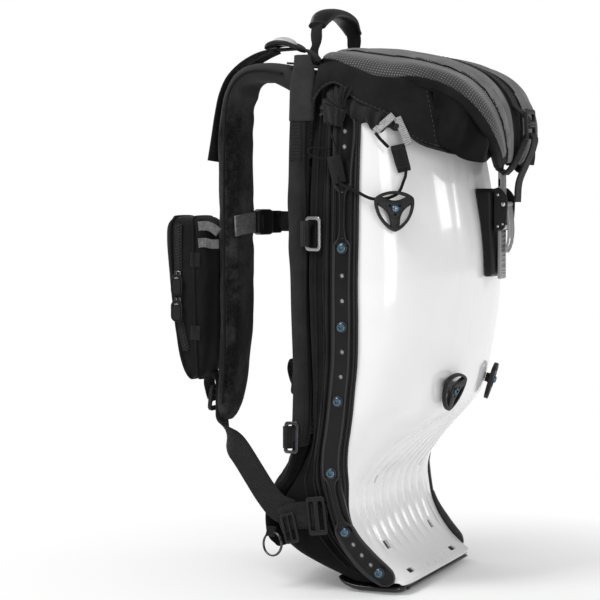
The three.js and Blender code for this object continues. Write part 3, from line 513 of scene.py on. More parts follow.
def welded(form, distance):
    """The form with near points merged and its faces turned outwards."""
    bm = bmesh.new()
    verts = [bm.verts.new(p) for p in form.points]
    for f in form.faces:
        try:
            bm.faces.new([verts[i] for i in f])
        except ValueError:
            continue
    bmesh.ops.remove_doubles(bm, verts=bm.verts, dist=distance)
    bmesh.ops.recalc_face_normals(bm, faces=bm.faces)
    bm.verts.index_update()
    out = Form([v.co[:] for v in bm.verts], [[v.index for v in f.verts] for f in bm.faces])
    bm.free()
    return out


def rounded(width, height, radius, steps=6, at=(0, 0)):
    """Rounded-rectangle outline."""
    points = []
    w, h = width / 2 - radius, height / 2 - radius
    for k, (cx, cy) in enumerate([(w, h), (-w, h), (-w, -h), (w, -h)]):
        for i in range(steps + 1):
            a = (k + i / steps) * math.pi / 2
            points.append((at[0] + cx + radius * math.cos(a), at[1] + cy + radius * math.sin(a)))
    return points


def circle(radius, at=(0, 0), count=20):
    """Round outline."""
    return [(at[0] + radius * math.cos(a), at[1] + radius * math.sin(a)) for a in full_turn(count)]


def block(width, depth, height, bevel=0.8, segments=3):
    """Box with rounded edges, centred on the origin."""
    bm = bmesh.new()
    bmesh.ops.create_cube(bm, size=1)
    bmesh.ops.scale(bm, vec=(width, depth, height), verts=bm.verts)
    bmesh.ops.bevel(
        bm, geom=list(bm.edges), offset=bevel, segments=segments, affect="EDGES", profile=0.5,
        clamp_overlap=True,
    )
    bm.verts.index_update()
    out = Form([v.co[:] for v in bm.verts], [[v.index for v in f.verts] for f in bm.faces])
    bm.free()
    return out


# ------------------------------------------------------------------ pieces in the scene
def emit(name, form, material, body, slot, nodes=(), sharp=None, subdivide=0):
    """Makes the Blender object of a form and lets it ride on its body."""
    obj = mesh_object(name, form, material, sharp)
    if subdivide:
        modifier = obj.modifiers.new("smooth", "SUBSURF")
        modifier.levels = subdivide
        modifier.render_levels = subdivide
    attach(obj, body)
    if nodes:
        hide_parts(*nodes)
    return obj


def mesh_object(name, form, material, sharp=None):
    """Blender object of a form, in metres and in the frame's heights."""
    mesh = bpy.data.meshes.new(name)
    points = form.points * MM - np.array([0, 0, GROUND * MM])
    mesh.from_pydata(points.tolist(), [], form.faces)
    if form.uv is not None:
        layer = mesh.uv_layers.new(name="UVMap")
        flat = [value for face in form.uv for pair in face for value in pair]
        layer.data.foreach_set("uv", np.array(flat, np.float32))
    mesh.update()
    bm = bmesh.new()
    bm.from_mesh(mesh)
    bmesh.ops.recalc_face_normals(bm, faces=bm.faces)
    bm.to_mesh(mesh)
    bm.free()
    mesh.polygons.foreach_set("use_smooth", [True] * len(mesh.polygons))
    if sharp is not None:
        mesh.set_sharp_from_angle(angle=math.radians(sharp))
    mesh.materials.append(material)
    obj = bpy.data.objects.new(name, mesh)
    bpy.context.scene.collection.objects.link(obj)
    return obj


def emit_pair(name, form, material, body, slot, nodes=(), mirror=sided, **finish):
    """The left piece and its mirror image; {} in a name stands for left or right."""
    for side, label in SIDES:
        replaced = [node.format(label) for node in nodes]
        emit(name.format(label), mirror(form, side), material, body.format(label), slot, replaced, **finish)


def emit_blend(name, form, material, bodies, start, end, slot, nodes=()):
    """A band between two bodies, baked in place on neither of them; start and end are not used."""
    obj = mesh_object(name, form, material)
    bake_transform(obj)
    if nodes:
        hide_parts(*nodes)
    return obj


def emit_blend_pair(name, form, material, bodies, start, end, slot, nodes=()):
    """A band of the left strap and its counterpart on the right one."""
    for side, label in SIDES:
        ends = [(-side * x, y, z) for x, y, z in (start, end)]
        replaced = [node.format(label) for node in nodes]
        emit_blend(name.format(label), hung(form, side), material, bodies, *ends, slot, replaced)


def carved(form, cutters):
    """The form with holes where the cutters are."""
    body = mesh_object("carve_body", form, helper_material())
    tool = mesh_object("carve_tool", joined(*cutters), helper_material())
    modifier = body.modifiers.new("cut", "BOOLEAN")
    modifier.operation = "DIFFERENCE"
    modifier.solver = "EXACT"
    modifier.use_self = True
    modifier.object = tool
    graph = bpy.context.evaluated_depsgraph_get()
    mesh = bpy.data.meshes.new_from_object(body.evaluated_get(graph), depsgraph=graph)
    points = np.array([v.co[:] for v in mesh.vertices]) / MM + np.array([0, 0, GROUND])
    faces = [tuple(p.vertices) for p in mesh.polygons]
    bpy.data.objects.remove(body)
    bpy.data.objects.remove(tool)
    bpy.data.meshes.remove(mesh)
    return Form(points, faces)


def helper_material():
    """Plain material that only helper objects carry while they are cut."""
    return bpy.data.materials.get("helper") or bpy.data.materials.new("helper")


def inflated(form, cap, voxel=5.0, pressure=4.0, frames=20):
    """The form swollen by a cloth simulation and remeshed, each point moving at most cap millimetres."""
    obj = mesh_object("cloth_body", form, helper_material())
    obj.data.remesh_voxel_size = voxel * MM
    bpy.context.view_layer.objects.active = obj
    obj.select_set(True)
    bpy.ops.object.voxel_remesh()
    obj.select_set(False)
    rest = np.array([v.co[:] for v in obj.data.vertices])
    modifier = obj.modifiers.new("cloth", "CLOTH")
    settings = modifier.settings
    settings.use_pressure = True
    settings.uniform_pressure_force = pressure
    settings.effector_weights.gravity = 0
    settings.quality = 5
    modifier.collision_settings.use_collision = False
    scene = bpy.context.scene
    for number in range(1, frames + 1):
        scene.frame_set(number)
    graph = bpy.context.evaluated_depsgraph_get()
    mesh = bpy.data.meshes.new_from_object(obj.evaluated_get(graph), depsgraph=graph)
    swollen = np.array([v.co[:] for v in mesh.vertices])
    faces = [tuple(p.vertices) for p in mesh.polygons]
    scene.frame_set(1)
    bpy.data.objects.remove(obj)
    bpy.data.meshes.remove(mesh)
    step = swollen - rest
    length = np.linalg.norm(step, axis=1, keepdims=True)
    step *= np.minimum(1, cap * MM / np.maximum(length, 1e-9))
    return Form((rest + step) / MM + np.array([0, 0, GROUND]), faces)


# ------------------------------------------------------------------ materials
class Nodes:
    """Short way to write a material's node tree."""

    def __init__(self, name, rough, metal=0.0):
        self.material = bpy.data.materials.new(name)
        self.material.use_nodes = True
        self.tree = self.material.node_tree
        self.shader = self.tree.nodes["Principled BSDF"]
        self.shader.inputs["Roughness"].default_value = rough
        self.shader.inputs["Metallic"].default_value = metal

    def add(self, kind, **inputs):
        node = self.tree.nodes.new(kind)
        for key, value in inputs.items():
            self.put(node, key.replace("_", " "), value)
        return node

    def put(self, node, key, value):
        socket = node.inputs[int(key)] if key.isdigit() else node.inputs[key]
        if hasattr(value, "links"):
            self.tree.links.new(value, socket)
        else:
            socket.default_value = value

    def math(self, operation, a, b=0.0):
        node = self.tree.nodes.new("ShaderNodeMath")
        node.operation = operation
        self.put(node, "0", a)
        self.put(node, "1", b)
        return node.outputs[0]

    def place(self, kind="Object"):
        return self.add("ShaderNodeTexCoord").outputs[kind]

    def noise(self, scale, detail=4.0, rough=0.6):
        node = self.add("ShaderNodeTexNoise", Scale=scale, Detail=detail, Roughness=rough)
        self.put(node, "Vector", self.place())
        return node.outputs["Fac"]

    def fit(self, value, a, b, low, high):
        node = self.add("ShaderNodeMapRange", Value=value)
        node.inputs["From Min"].default_value = a
        node.inputs["From Max"].default_value = b
        node.inputs["To Min"].default_value = low
        node.inputs["To Max"].default_value = high
        return node.outputs[0]

    def mix(self, share, a, b):
        node = self.tree.nodes.new("ShaderNodeMix")
        node.data_type = "RGBA"
        node.clamp_factor = True
        self.put(node, "0", share)
        for key, value in (("6", a), ("7", b)):
            self.put(node, key, (*value, 1) if isinstance(value, tuple) else value)
        return node.outputs[2]

    def edges(self, low=0.5, high=0.6):
        """Brighter on the piece's convex edges."""
        wear = self.tree.nodes.new("ShaderNodeNewGeometry").outputs["Pointiness"]
        return self.fit(wear, low, high, 0.0, 1.0)

    def bump(self, height, distance, strength=1.0, after=None):
        node = self.add("ShaderNodeBump", Height=height)
        node.inputs["Distance"].default_value = distance * MM
        node.inputs["Strength"].default_value = strength
        if after is not None:
            self.put(node, "Normal", after)
        return node.outputs["Normal"]

    def done(self, colour, rough=None, normal=None, **extra):
        self.put(self.shader, "Base Color", (*colour, 1) if isinstance(colour, tuple) else colour)
        if rough is not None:
            self.put(self.shader, "Roughness", rough)
        if normal is not None:
            self.put(self.shader, "Normal", normal)
        for key, value in extra.items():
            self.put(self.shader, key.replace("_", " "), value)
        return self.material


def grey(value, warm=0.0):
    """Neutral colour, a little warmer when asked."""
    return (value * (1 + warm), value, value * (1 - warm))


def gloss_shell():
    """Glossy white shell: light haze, grime, fine scratches and a soft wave."""
    n = Nodes("gloss_white_shell", 0.16)
    haze = n.noise(9, 3)
    grime = n.noise(55, 6, 0.7)
    base = n.mix(n.fit(haze, 0.3, 0.7, 0, 1), grey(0.86), grey(0.80))
    base = n.mix(n.fit(grime, 0.62, 0.8, 0, 0.35), base, grey(0.70, 0.02))
    scratch = n.add("ShaderNodeTexNoise", Scale=1.0, Detail=2.0)
    stretch = n.add("ShaderNodeMapping", Vector=n.place())
    stretch.inputs["Scale"].default_value = (900, 60, 60)
    stretch.inputs["Rotation"].default_value = (0.3, 0.5, 0.4)
    n.put(scratch, "Vector", stretch.outputs[0])
    rough = n.fit(scratch.outputs["Fac"], 0.35, 0.75, 0.13, 0.24)
    wave = n.bump(n.noise(35, 2), 0.25, 0.35)
    fine = n.bump(n.noise(900, 2), 0.012, 0.5, wave)
    return n.done(base, rough, fine, Coat_Weight=0.5, Coat_Roughness=0.06)


def moulded(name, base, rough, grain=0.05, edge_wear_and_highlight=0.35, gloss=0.0):
    """Moulded plastic: fine texture, uneven sheen, and convex edges painted lighter, partly as rubbed wear
    and partly as painted highlight.
    """
    n = Nodes(name, rough)
    cloud = n.noise(60, 4)
    tone = n.mix(n.fit(cloud, 0.35, 0.7, 0, 1), base, tuple(c * 1.35 + 0.001 for c in base))
    # Convex edges painted lighter: partly rubbed wear, partly painted highlight along raised borders.
    light = tuple(min(c * 2.4 + 0.05, 1) for c in base)
    tone = n.mix(n.math("MULTIPLY", n.edges(0.505, 0.58), edge_wear_and_highlight), tone, light)
    grit = n.add("ShaderNodeTexVoronoi", Scale=1600.0)
    n.put(grit, "Vector", n.place())
    normal = n.bump(grit.outputs["Distance"], grain, 0.6)
    sheen = n.fit(n.noise(25, 5), 0.3, 0.75, rough * 0.82, min(rough * 1.2, 1))
    return n.done(tone, sheen, normal, Coat_Weight=gloss, Coat_Roughness=0.2, Specular_IOR_Level=0.2)


def weave_height(n, thread):
    """Plain weave that works on faces in any direction, thread in millimetres."""
    split = n.add("ShaderNodeSeparateXYZ", Vector=n.place())
    k = 2 * math.pi / (thread * MM)
    level = n.math("ADD", split.outputs[0], split.outputs[1])
    a = n.math("SINE", n.math("MULTIPLY", level, k))
    b = n.math("SINE", n.math("MULTIPLY", split.outputs[2], k))
    return n.math("MULTIPLY", a, b)


def cloth(name, base, thread=0.9, depth=0.12, sheen=0.35, rough=0.85, light=1.7, folds=0.5):
    """Woven fabric: thread pattern, faded high spots, soft creases and a pale sheen."""
    n = Nodes(name, rough)
    threads = weave_height(n, thread)
    fade = n.noise(38, 6, 0.62)
    bright = tuple(c * light + 0.002 for c in base)
    tone = n.mix(n.fit(fade, 0.38, 0.68, 0, 1), base, bright)
    tone = n.mix(n.fit(threads, -0.6, 0.9, 0.4, 0), tone, tuple(c * 0.5 for c in base))
    speck = n.noise(1400, 2)
    tone = n.mix(n.fit(speck, 0.55, 0.8, 0, 0.35), tone, tuple(c * 2.2 + 0.006 for c in base))
    crease = n.bump(n.noise(70, 5, 0.6), 1.4, folds)
    normal = n.bump(threads, depth, 0.8, crease)
    return n.done(
        tone, rough, normal, Sheen_Weight=sheen * 0.18, Sheen_Roughness=0.45,
        Specular_IOR_Level=0.12,
    )


def velour(name, base):
    """Brushed strap fabric with mottled patches and flecks of painted sheen; smoother and paler over the
    shoulder.
    """
    n = Nodes(name, 0.95)
    patch = n.noise(26, 9, 0.78)
    fuzz_and_sheen = n.noise(1100, 3, 0.8)
    # Paler mottled patches and fine flecks: painted sheen of the brushed nap.
    tone = n.mix(n.fit(patch, 0.46, 0.66, 0, 1), base, grey(0.040))
    tone = n.mix(n.fit(fuzz_and_sheen, 0.5, 0.75, 0, 0.55), tone, grey(0.055))
    height = n.add("ShaderNodeSeparateXYZ", Vector=n.place()).outputs[2]
    tone = n.mix(n.fit(height, 0.452, 0.466, 0, 1), tone, grey(0.032))
    crease = n.bump(n.noise(60, 4), 1.4, 0.5)
    normal = n.bump(fuzz_and_sheen, 0.25, 0.9, crease)
    return n.done(tone, 0.95, normal, Sheen_Weight=0.08, Sheen_Roughness=0.5, Specular_IOR_Level=0.1)


def webbing(name, base, rib=1.7, flecks=0.3):
    """Woven tape from its uv: cross ribs and lengthwise yarns."""
    n = Nodes(name, 0.8)
    split = n.add("ShaderNodeSeparateXYZ", Vector=n.place("UV"))
    u, v = split.outputs[0], split.outputs[1]
    lean = n.math("ABSOLUTE", n.math("SINE", n.math("MULTIPLY", u, math.pi / 2.4)))
    phase = n.math("ADD", n.math("MULTIPLY", v, 2 * math.pi / rib), n.math("MULTIPLY", lean, 1.6))
    ribs = n.math("SINE", phase)
    yarns = n.math("SINE", n.math("MULTIPLY", u, 2 * math.pi / 1.2))
    height = n.math("ADD", ribs, n.math("MULTIPLY", yarns, 0.5))
    deep = tuple(c * 0.4 for c in base)
    tone = n.mix(n.fit(height, -1.2, 0.8, 1, 0), base, deep)
    wear = n.noise(90, 6, 0.7)
    tone = n.mix(n.fit(wear, 0.5, 0.72, 0, 0.6), tone, tuple(min(c * 1.8 + 0.004, 1) for c in base))
    speck = n.noise(900, 2)
    pale = tuple(min(c * 2.2 + 0.02, 1) for c in base)
    tone = n.mix(n.fit(speck, 0.56, 0.7, 0, flecks), tone, pale)
    normal = n.bump(height, 0.35, 0.8)
    return n.done(tone, 0.78, normal, Sheen_Weight=0.06, Specular_IOR_Level=0.25)


def dotted(name, base, dot, pitch=2.6, from_uv=True):
    """Spacer mesh: staggered round openings in a dark knit, coloured pale as painted highlight seen through
    the mesh.
    """
    n = Nodes(name, 0.75)
    source = n.place("UV") if from_uv else n.place()
    k = 2 * math.pi / (pitch if from_uv else pitch * MM)
    split = n.add("ShaderNodeSeparateXYZ", Vector=source)
    second = split.outputs[1] if from_uv else split.outputs[2]
    first = split.outputs[0] if from_uv else n.math("ADD", split.outputs[0], split.outputs[1])
    a = n.math("COSINE", n.math("MULTIPLY", n.math("ADD", first, second), k * 0.5))
    b = n.math("COSINE", n.math("MULTIPLY", n.math("SUBTRACT", first, second), k * 0.5))
    knit = n.math("MULTIPLY", a, b)
    hole = n.fit(knit, 0.35, 0.75, 0, 1)
    fade = n.fit(n.noise(24, 4), 0.35, 0.65, 0.25, 1)
    ground = n.mix(n.fit(n.noise(50, 5), 0.3, 0.7, 0, 1), base, tuple(c * 1.8 for c in base))
    # The openings take the pale dot colour: painted highlight seen through the mesh.
    tone = n.mix(n.math("MULTIPLY", hole, fade), ground, dot)
    crease = n.bump(n.noise(60, 4), 1.0, 0.4)
    normal = n.bump(hole, -0.5, 0.8, crease)
    return n.done(tone, 0.72, normal, Sheen_Weight=0.3)


def metal(name, base, rough):
    """Cast or turned metal with fine brush lines and rubbed edges."""
    n = Nodes(name, rough, 1.0)
    lines = n.noise(700, 3)
    tone = n.mix(n.fit(n.noise(120, 4), 0.35, 0.65, 0, 1), base, tuple(c * 0.7 for c in base))
    tone = n.mix(n.math("MULTIPLY", n.edges(0.52, 0.62), 0.6), tone, tuple(min(c * 1.8, 1) for c in base))
    sheen = n.fit(lines, 0.3, 0.7, rough * 0.75, rough * 1.3)
    return n.done(tone, sheen, n.bump(lines, 0.02, 0.5))


SHELL_WHITE = gloss_shell()
# The fifth value sets how much convex edges are painted lighter, as wear and painted highlight; the rail
# takes the most.
BLACK_PLASTIC = moulded("black_moulded", grey(0.005), 0.40, 0.03, 0.4)
RAIL_PLASTIC = moulded("black_rail", grey(0.004), 0.34, 0.02, 0.8, 0.05)
BLACK_RUBBER = moulded("black_rubber", grey(0.005), 0.46, 0.05, 0.25)
GLOSS_RUBBER = moulded("glossy_foot", grey(0.005), 0.25, 0.02, 0.3, 0.4)
GREY_PLASTIC = moulded("grey_moulded", grey(0.20), 0.5, 0.05, 0.35)
LIGHT_PLASTIC = moulded("light_moulded", grey(0.42), 0.5, 0.04, 0.25)
SCREW_STEEL = metal("blue_steel", (0.10, 0.17, 0.23), 0.28)
SATIN_STEEL = metal("satin_steel", (0.42, 0.42, 0.43), 0.36)
BLACK_STEEL = metal("black_steel", (0.09, 0.09, 0.10), 0.3)
BODY_FABRIC = cloth("black_body_fabric", grey(0.003), 0.9, 0.12, 0.2, 0.85, 1.8, 0.6)
FLAP_FABRIC = cloth("black_flap_fabric", grey(0.008), 0.8, 0.12, 0.25, 0.85, 1.7, 0.6)
LID_FABRIC = cloth("grey_lid_fabric", grey(0.15), 1.0, 0.14, 0.4, 0.8, 1.6, 0.3)
GATHER_FABRIC = cloth("soft_gather_fabric", grey(0.012), 0.8, 0.1, 0.5, 0.7, 1.8, 0.5)
PANEL_FABRIC = cloth("grey_panel_fabric", grey(0.016), 1.1, 0.15, 0.3, 0.85, 1.6, 0.4)
PATCH_FABRIC = cloth("pale_panel_fabric", grey(0.026), 1.1, 0.15, 0.3, 0.85, 1.5, 0.5)
GUSSET_FABRIC = cloth("dark_gusset_fabric", grey(0.0035), 0.8, 0.1, 0.2, 0.8, 1.8, 0.4)
PIPING = cloth("black_piping", grey(0.006), 0.7, 0.1, 0.25, 0.7, 2.0, 0.2)
STRAP_VELOUR = velour("black_strap_velour", grey(0.003))
POUCH_FABRIC = cloth("black_pouch_fabric", grey(0.006), 0.9, 0.12, 0.25, 0.7, 1.6, 0.35)
BLACK_WEB = webbing("black_webbing", grey(0.006))
RIBBED_WEB = webbing("ribbed_webbing", grey(0.008), 3.0, 0.15)
GREY_WEB = webbing("grey_webbing", grey(0.42), 1.8, 0.3)
ELASTIC_WEB = webbing("mottled_elastic", grey(0.16), 1.4, 0.9)
# The third value is the colour of the mesh openings, a painted highlight.
LID_MESH = dotted("lid_side_mesh", grey(0.008), grey(0.26), 2.7)
BACK_MESH = dotted("back_mesh", grey(0.008), grey(0.03), 4.0, False)
CORD = cloth("black_cord", grey(0.005), 0.8, 0.2, 0.2, 0.6, 2.0, 0.1)
THREAD = cloth("thread", grey(0.05), 0.4, 0.05, 0.2, 0.7, 1.4, 0.0)


# ------------------------------------------------------------------ shell and foot
def shell_face():
    """Outer face of the shell as a grid: rows down from the rim, columns across from the left."""
    heights = np.concatenate([np.linspace(SHELL_RIM, 190, 88), np.linspace(187, 18, 92)])
    turns = np.linspace(0, math.pi, 721)
    rows = []
    for z in heights:
        half, n = half_width(z), exponent(z)
        c, s = np.cos(turns), np.sin(turns)
        x = -half * bowed(c, 2 / n)
        y = rail_y(z) - (rail_y(z) - crown_y(z)) * np.abs(s) ** (2 / n)
        line = np.stack([x, y, np.full_like(x, z)], axis=1)
        left = [[-half, rail_y(z) + FLANGE, z], [-half, rail_y(z) + FLANGE / 2, z]]
        right = [[half, rail_y(z) + FLANGE / 2, z], [half, rail_y(z) + FLANGE, z]]
        rows.append(np.vstack([left, resampled(line, 151), right]))
    return np.array(rows)


def rib_height(x, z):
    """Moulded ribs that start under the belly and run down the waist into the tail."""
    pitch = 21.0
    gather = through([[30, 1], [128, 1], [145, 0.88], [160, 0.62], [174, 0.42], [200, 0.3]], z)
    across = np.abs(x) / gather
    wave = np.abs(np.cos(math.pi * across / pitch))
    ridge = wave**0.75 - 0.6
    fade = smooth(z, 34, 60) * (1 - smooth(z, 160, 198)) * (1 - smooth(across, 86, 98))
    return 3.3 * fade * ridge


def slot_places():
    """Across, height, width and height of each opening in the tail's outer face."""
    openings = [(64.5, 24, 15, 5.5), (66, 47, 9, 9), (67, 110, 3.4, 9)]
    return [(side * x, z, wide, high) for x, z, wide, high in openings for side in (-1, 1)]


def facet_height(x, z):
    """Shallow steps that run down the upper shell beside the latch."""
    step = smooth(np.abs(x), 66 - 0.06 * (z - 200), 78 - 0.06 * (z - 200))
    fade = smooth(z, 190, 240) * (1 - smooth(z, 430, 446))
    dish = smooth(np.abs(x), 30, 44) * (1 - step)
    return -1.3 * step * fade - 0.5 * dish * fade


def shell_cutters():
    """Slots of the tail: lip slots, thin lip marks, square holes and waist slots."""
    cutters = []
    for x, z, wide, high in slot_places():
        at, out = on_shell(x, z)
        cutters.append(block(wide, high, 16, 1.1).placed(at, out))
    for x in (-36, -18, 0, 18, 36):
        at, out = on_shell(x, 22.5)
        cutters.append(block(1.6, 7, 3, 0.3).placed(at, out))
    return cutters


def make_slot_inserts():
    """Dark rubber inserts set back in the tail's openings, with a ridge across each."""
    parts = []
    for x, z, wide, high in slot_places():
        at, out = on_shell(x, z)
        parts.append(block(wide + 0.6, high + 0.6, 1.6, 0.4).placed(at - out * 2.6, out))
        parts.append(block(wide * 0.7, 1.0, 1.4, 0.3).placed(at - out * 1.6, out))
    emit("slot_inserts", joined(*parts), BLACK_RUBBER, "pack", "black_rubber")


def make_shell():
    """White shell with its ribs, steps, slots and rim bead."""
    face = shell_face()
    lift = rib_height(face[:, :, 0], face[:, :, 2]) + facet_height(face[:, :, 0], face[:, :, 2])
    face = face + grid_normals(face) * lift[:, :, None]
    body = sheet(face, SHELL_WALL)
    body.uv = None
    emit("shell_body", carved(body, shell_cutters()), SHELL_WHITE, "pack", "gloss_white", ["shell"], sharp=50)
    bead = [face[0][j] + np.array([0, 0, 0.4]) for j in range(2, face.shape[1] - 2)]
    emit("shell_rim_bead", tube(bead, 1.7, 10), SHELL_WHITE, "pack", "gloss_white")


def make_foot():
    """Glossy foot: rolled front lip, raised treads and a rear edge that turns up."""
    rows = [
        (-41.5, 11.4, 14, 92), (-41, 9.8, 15.2, 95), (-39.5, 8.4, 15.8, 98), (-37, 7.4, 15.4, 101),
        (-32, 7, 14.9, 102.5), (-18, 7, 14.7, 104), (2, 7, 14.9, 104), (10, 8.6, 15.6, 103.6),
        (17, 11.5, 17.2, 103), (22, 14.6, 18.8, 101), (25, 17.2, 20.0, 98), (26, 18.6, 19.6, 95),
    ]
    rings = []
    for y, low, high, half in rows:
        ring = []
        mid = (low + high) / 2
        deep = (high - low) / 2
        for a in full_turn(48):
            c, s = math.cos(a), math.sin(a)
            x = half * bowed(c, 0.22)
            z = mid + deep * bowed(s, 0.45)
            ring.append((x, y, max(z, 7.0)))
        rings.append(ring)
    parts = [loft(rings)]
    for y in (-26, -12, 2):
        parts.append(block(186, 5, 1.8, 0.6).moved(0, y, 15.2))
    emit("foot_body", joined(*parts), GLOSS_RUBBER, "pack", "black_rubber", ["base_foot"], sharp=60)
    lips = []
    for y, z, radius in ((-41.3, 15.6, 1.5), (-42.2, 11.8, 1.2)):
        edge = [(x, y, z) for x in np.linspace(-93, 93, 40)]
        lips.append(tube(edge, radius, 10))
    emit("foot_lip", joined(*lips), GLOSS_RUBBER, "pack", "black_rubber")


def make_gasket():
    """Flat rubber band that closes the gap between the rail plate and the trim cords."""
    rows = []
    for z in np.linspace(450, 22, 130):
        rows.append([shell_side_point(z, across) - (0.3, 0, 0) for across in np.linspace(6.5, 14.4, 6)])
    band = sheet(np.array(rows), 1.0)
    emit_pair("rail_gasket_{}", band, BLACK_RUBBER, "pack", "black_rubber")


# ------------------------------------------------------------------ rails
# Height and width of a rail's plates.
RAIL_WIDTH = [
    [18, 12], [25, 19], [66, 20], [74, 18.5], [127, 17], [347, 17], [386, 17], [398, 17],
    [450, 20], [457, 15],
]


def rail_point(z, across, out):
    """Point beside the left rail line, across towards the shell's face, out from its side."""
    run = np.array([0, rail_y(z + 2) - rail_y(z - 2), 4.0])
    run = unit(run)
    move = np.array([0, -run[2], run[1]])
    base = np.array([-(half_width(z) + out), rail_y(z), z])
    return base + move * across


def rail_heights(low, high, step):
    """Heights between two limits at even distances along the rail line."""
    fine = np.linspace(low, high, 400)
    line = np.stack([fine * 0, rail_y(fine), fine], axis=1)
    length = np.concatenate([[0], np.cumsum(np.linalg.norm(np.diff(line, axis=0), axis=1))])
    count = max(int(length[-1] / step), 4)
    return np.interp(np.linspace(0, length[-1], count + 1), length, fine), length[-1]


def rail_strip(low, high, half, shift=lambda t: 0.0, border=1.25, round_ends=True, thick=RAIL_THICK):
    """Strip along the rail with a raised border; half(t) and shift(t) take the share of its length."""
    heights, total = rail_heights(low, high, RAIL_STEP)
    spread = np.array([-1, -0.99, -0.93, -0.84, -0.76, -0.7, -0.4, 0, 0.4, 0.7, 0.76, 0.84, 0.93, 0.99, 1])
    rise = np.array([0.45, 0.8, 1, 0.95, 0.6, 0.1, 0, 0, 0, 0.1, 0.6, 0.95, 1, 0.8, 0.45])
    rings = []
    for i, z in enumerate(heights):
        t = i / (len(heights) - 1)
        wide = half(t)
        ends = min(t, 1 - t) * total
        if round_ends and ends < wide:
            wide = max(wide * math.sqrt(max(1 - (1 - ends / wide) ** 2, 0)), 0.25)
        inner = 1.0 if not round_ends else min(1.0, 0.15 + ends / 3.2)
        field = RAIL_OUT + thick - border
        top = [
            rail_point(z, shift(t) + wide * s, field + border * max(r, 1 - inner))
            for s, r in zip(spread, rise)
        ]
        under = [rail_point(z, shift(t) + wide * s, RAIL_OUT) for s in (0.99, 0, -0.99)]
        rings.append(top + under)
    return loft(rings)


def rail_width(z):
    """Half width of a rail plate."""
    return float(through(RAIL_WIDTH, z)) / 2


def rail_screw_cup(z, radius=4.9):
    """Ring seat round a screw or a hole."""
    profile = [
        (radius - 1.6, -1.2), (radius - 1.5, 0.25), (radius - 0.8, 0.7), (radius, 0.35),
        (radius + 0.3, -1.2),
    ]
    seat = open_ring(profile, 28)
    at = rail_point(z, 0, RAIL_OUT + RAIL_THICK - 0.9)
    return seat.placed(at, (-1, 0, 0))


def open_ring(profile, sides):
    """Ring turned about z from a closed (radius, height) profile."""
    count = len(profile)
    points, faces = [], []
    for a in full_turn(sides):
        points += [(r * math.cos(a), r * math.sin(a), h) for r, h in profile]
    for k in range(sides):
        n = (k + 1) % sides
        for j in range(count):
            m = (j + 1) % count
            faces.append((k * count + j, n * count + j, n * count + m, k * count + m))
    return Form(points, faces)


def screw(radius=4.1):
    """Pan-head screw with a six-lobed socket, standing on z = 0."""
    profile = [
        (radius * 0.98, -2.5), (radius, 0), (radius, 1.1), (radius * 0.93, 1.7), (radius * 0.8, 2.05),
        (2.5, 2.15), (2.1, 2.1), (1.95, 1.9), (1.9, 0.9), (0.6, 0.7),
    ]
    return lathe(profile, 36, star={6, 7, 8})


def rail_neck(low, high):
    """Waisted neck: a narrow bar that flares into both plates, between two thin edges."""
    full = rail_width((low + high) / 2)
    bar = rail_strip(low, high, lambda t: 2.3 + (full - 2.6) * abs(2 * t - 1) ** 4.5, border=0.7,
                     round_ends=False, thick=RAIL_THICK + 0.3)
    edges = [
        rail_strip(low, high, lambda t: 1.0, lambda t, s=side: s * (full - 0.9), border=0.4,
                   round_ends=False, thick=RAIL_THICK - 0.4)
        for side in (-1, 1)
    ]
    floor = rail_strip(low, high, lambda t: full - 1, border=0.1, round_ends=False, thick=0.8)
    return [bar, floor] + edges


def make_rail():
    """Side rail: three bordered plates, two necks, screw seats, screws, rivets and trim cords."""
    plates = [
        rail_strip(382, 456, lambda t: rail_width(382 + 74 * t)),
        rail_strip(112.5, 340.5, lambda t: rail_width(112.5 + 228 * t) - 0.2 * math.sin(t * math.pi)),
        rail_strip(18.5, 76, lambda t: rail_width(18.5 + 57.5 * t)),
    ]
    holes = [438, 424, 306, 283, 236, 213, 54, 44, 35]
    cutters = []
    for z in holes:
        at = rail_point(z, 0, RAIL_OUT)
        cutters.append(lathe([(2.1, -3), (2.1, 1.6), (2.5, 2.4), (4.4, 8)], 20).placed(at, (-1, 0, 0)))
    body = carved(joined(*plates), cutters)
    parts = [body] + rail_neck(334, 390) + rail_neck(70, 118)
    parts += [rail_screw_cup(z) for z in BOLT_HEIGHTS]
    form = joined(*parts)
    emit_pair("rail_plate_{}", form, RAIL_PLASTIC, "pack", "black_plastic", ["rail_{}"], sharp=45)
    heads = []
    for z in BOLT_HEIGHTS:
        at = rail_point(z, 0, RAIL_OUT + RAIL_THICK - 0.2)
        heads.append(screw().placed(at, (-1, 0, 0)))
    bolts = joined(*heads)
    emit_pair("rail_screws_{}", bolts, SCREW_STEEL, "pack", "blue_steel", ["rail_bolts_{}"], sharp=40)
    liners = []
    for z in holes:
        at = rail_point(z, 0, -0.2)
        liners.append(lathe([(2.6, -0.4), (2.6, 0.5), (1.6, 0.9), (0.5, 1.2)], 20).placed(at, (-1, 0, 0)))
    dots = joined(*liners)
    emit_pair("rail_rivets_{}", dots, LIGHT_PLASTIC, "pack", "grey_plastic")
    trims = []
    for offset, radius in ((11.2, 1.5), (13.8, 1.15)):
        path = [shell_side_point(z, offset) for z in np.linspace(22, 448, 150)]
        trims.append(tube(path, radius, 8))
    trim = joined(*trims)
    emit_pair("rail_trim_{}", trim, BLACK_RUBBER, "pack", "black_rubber")


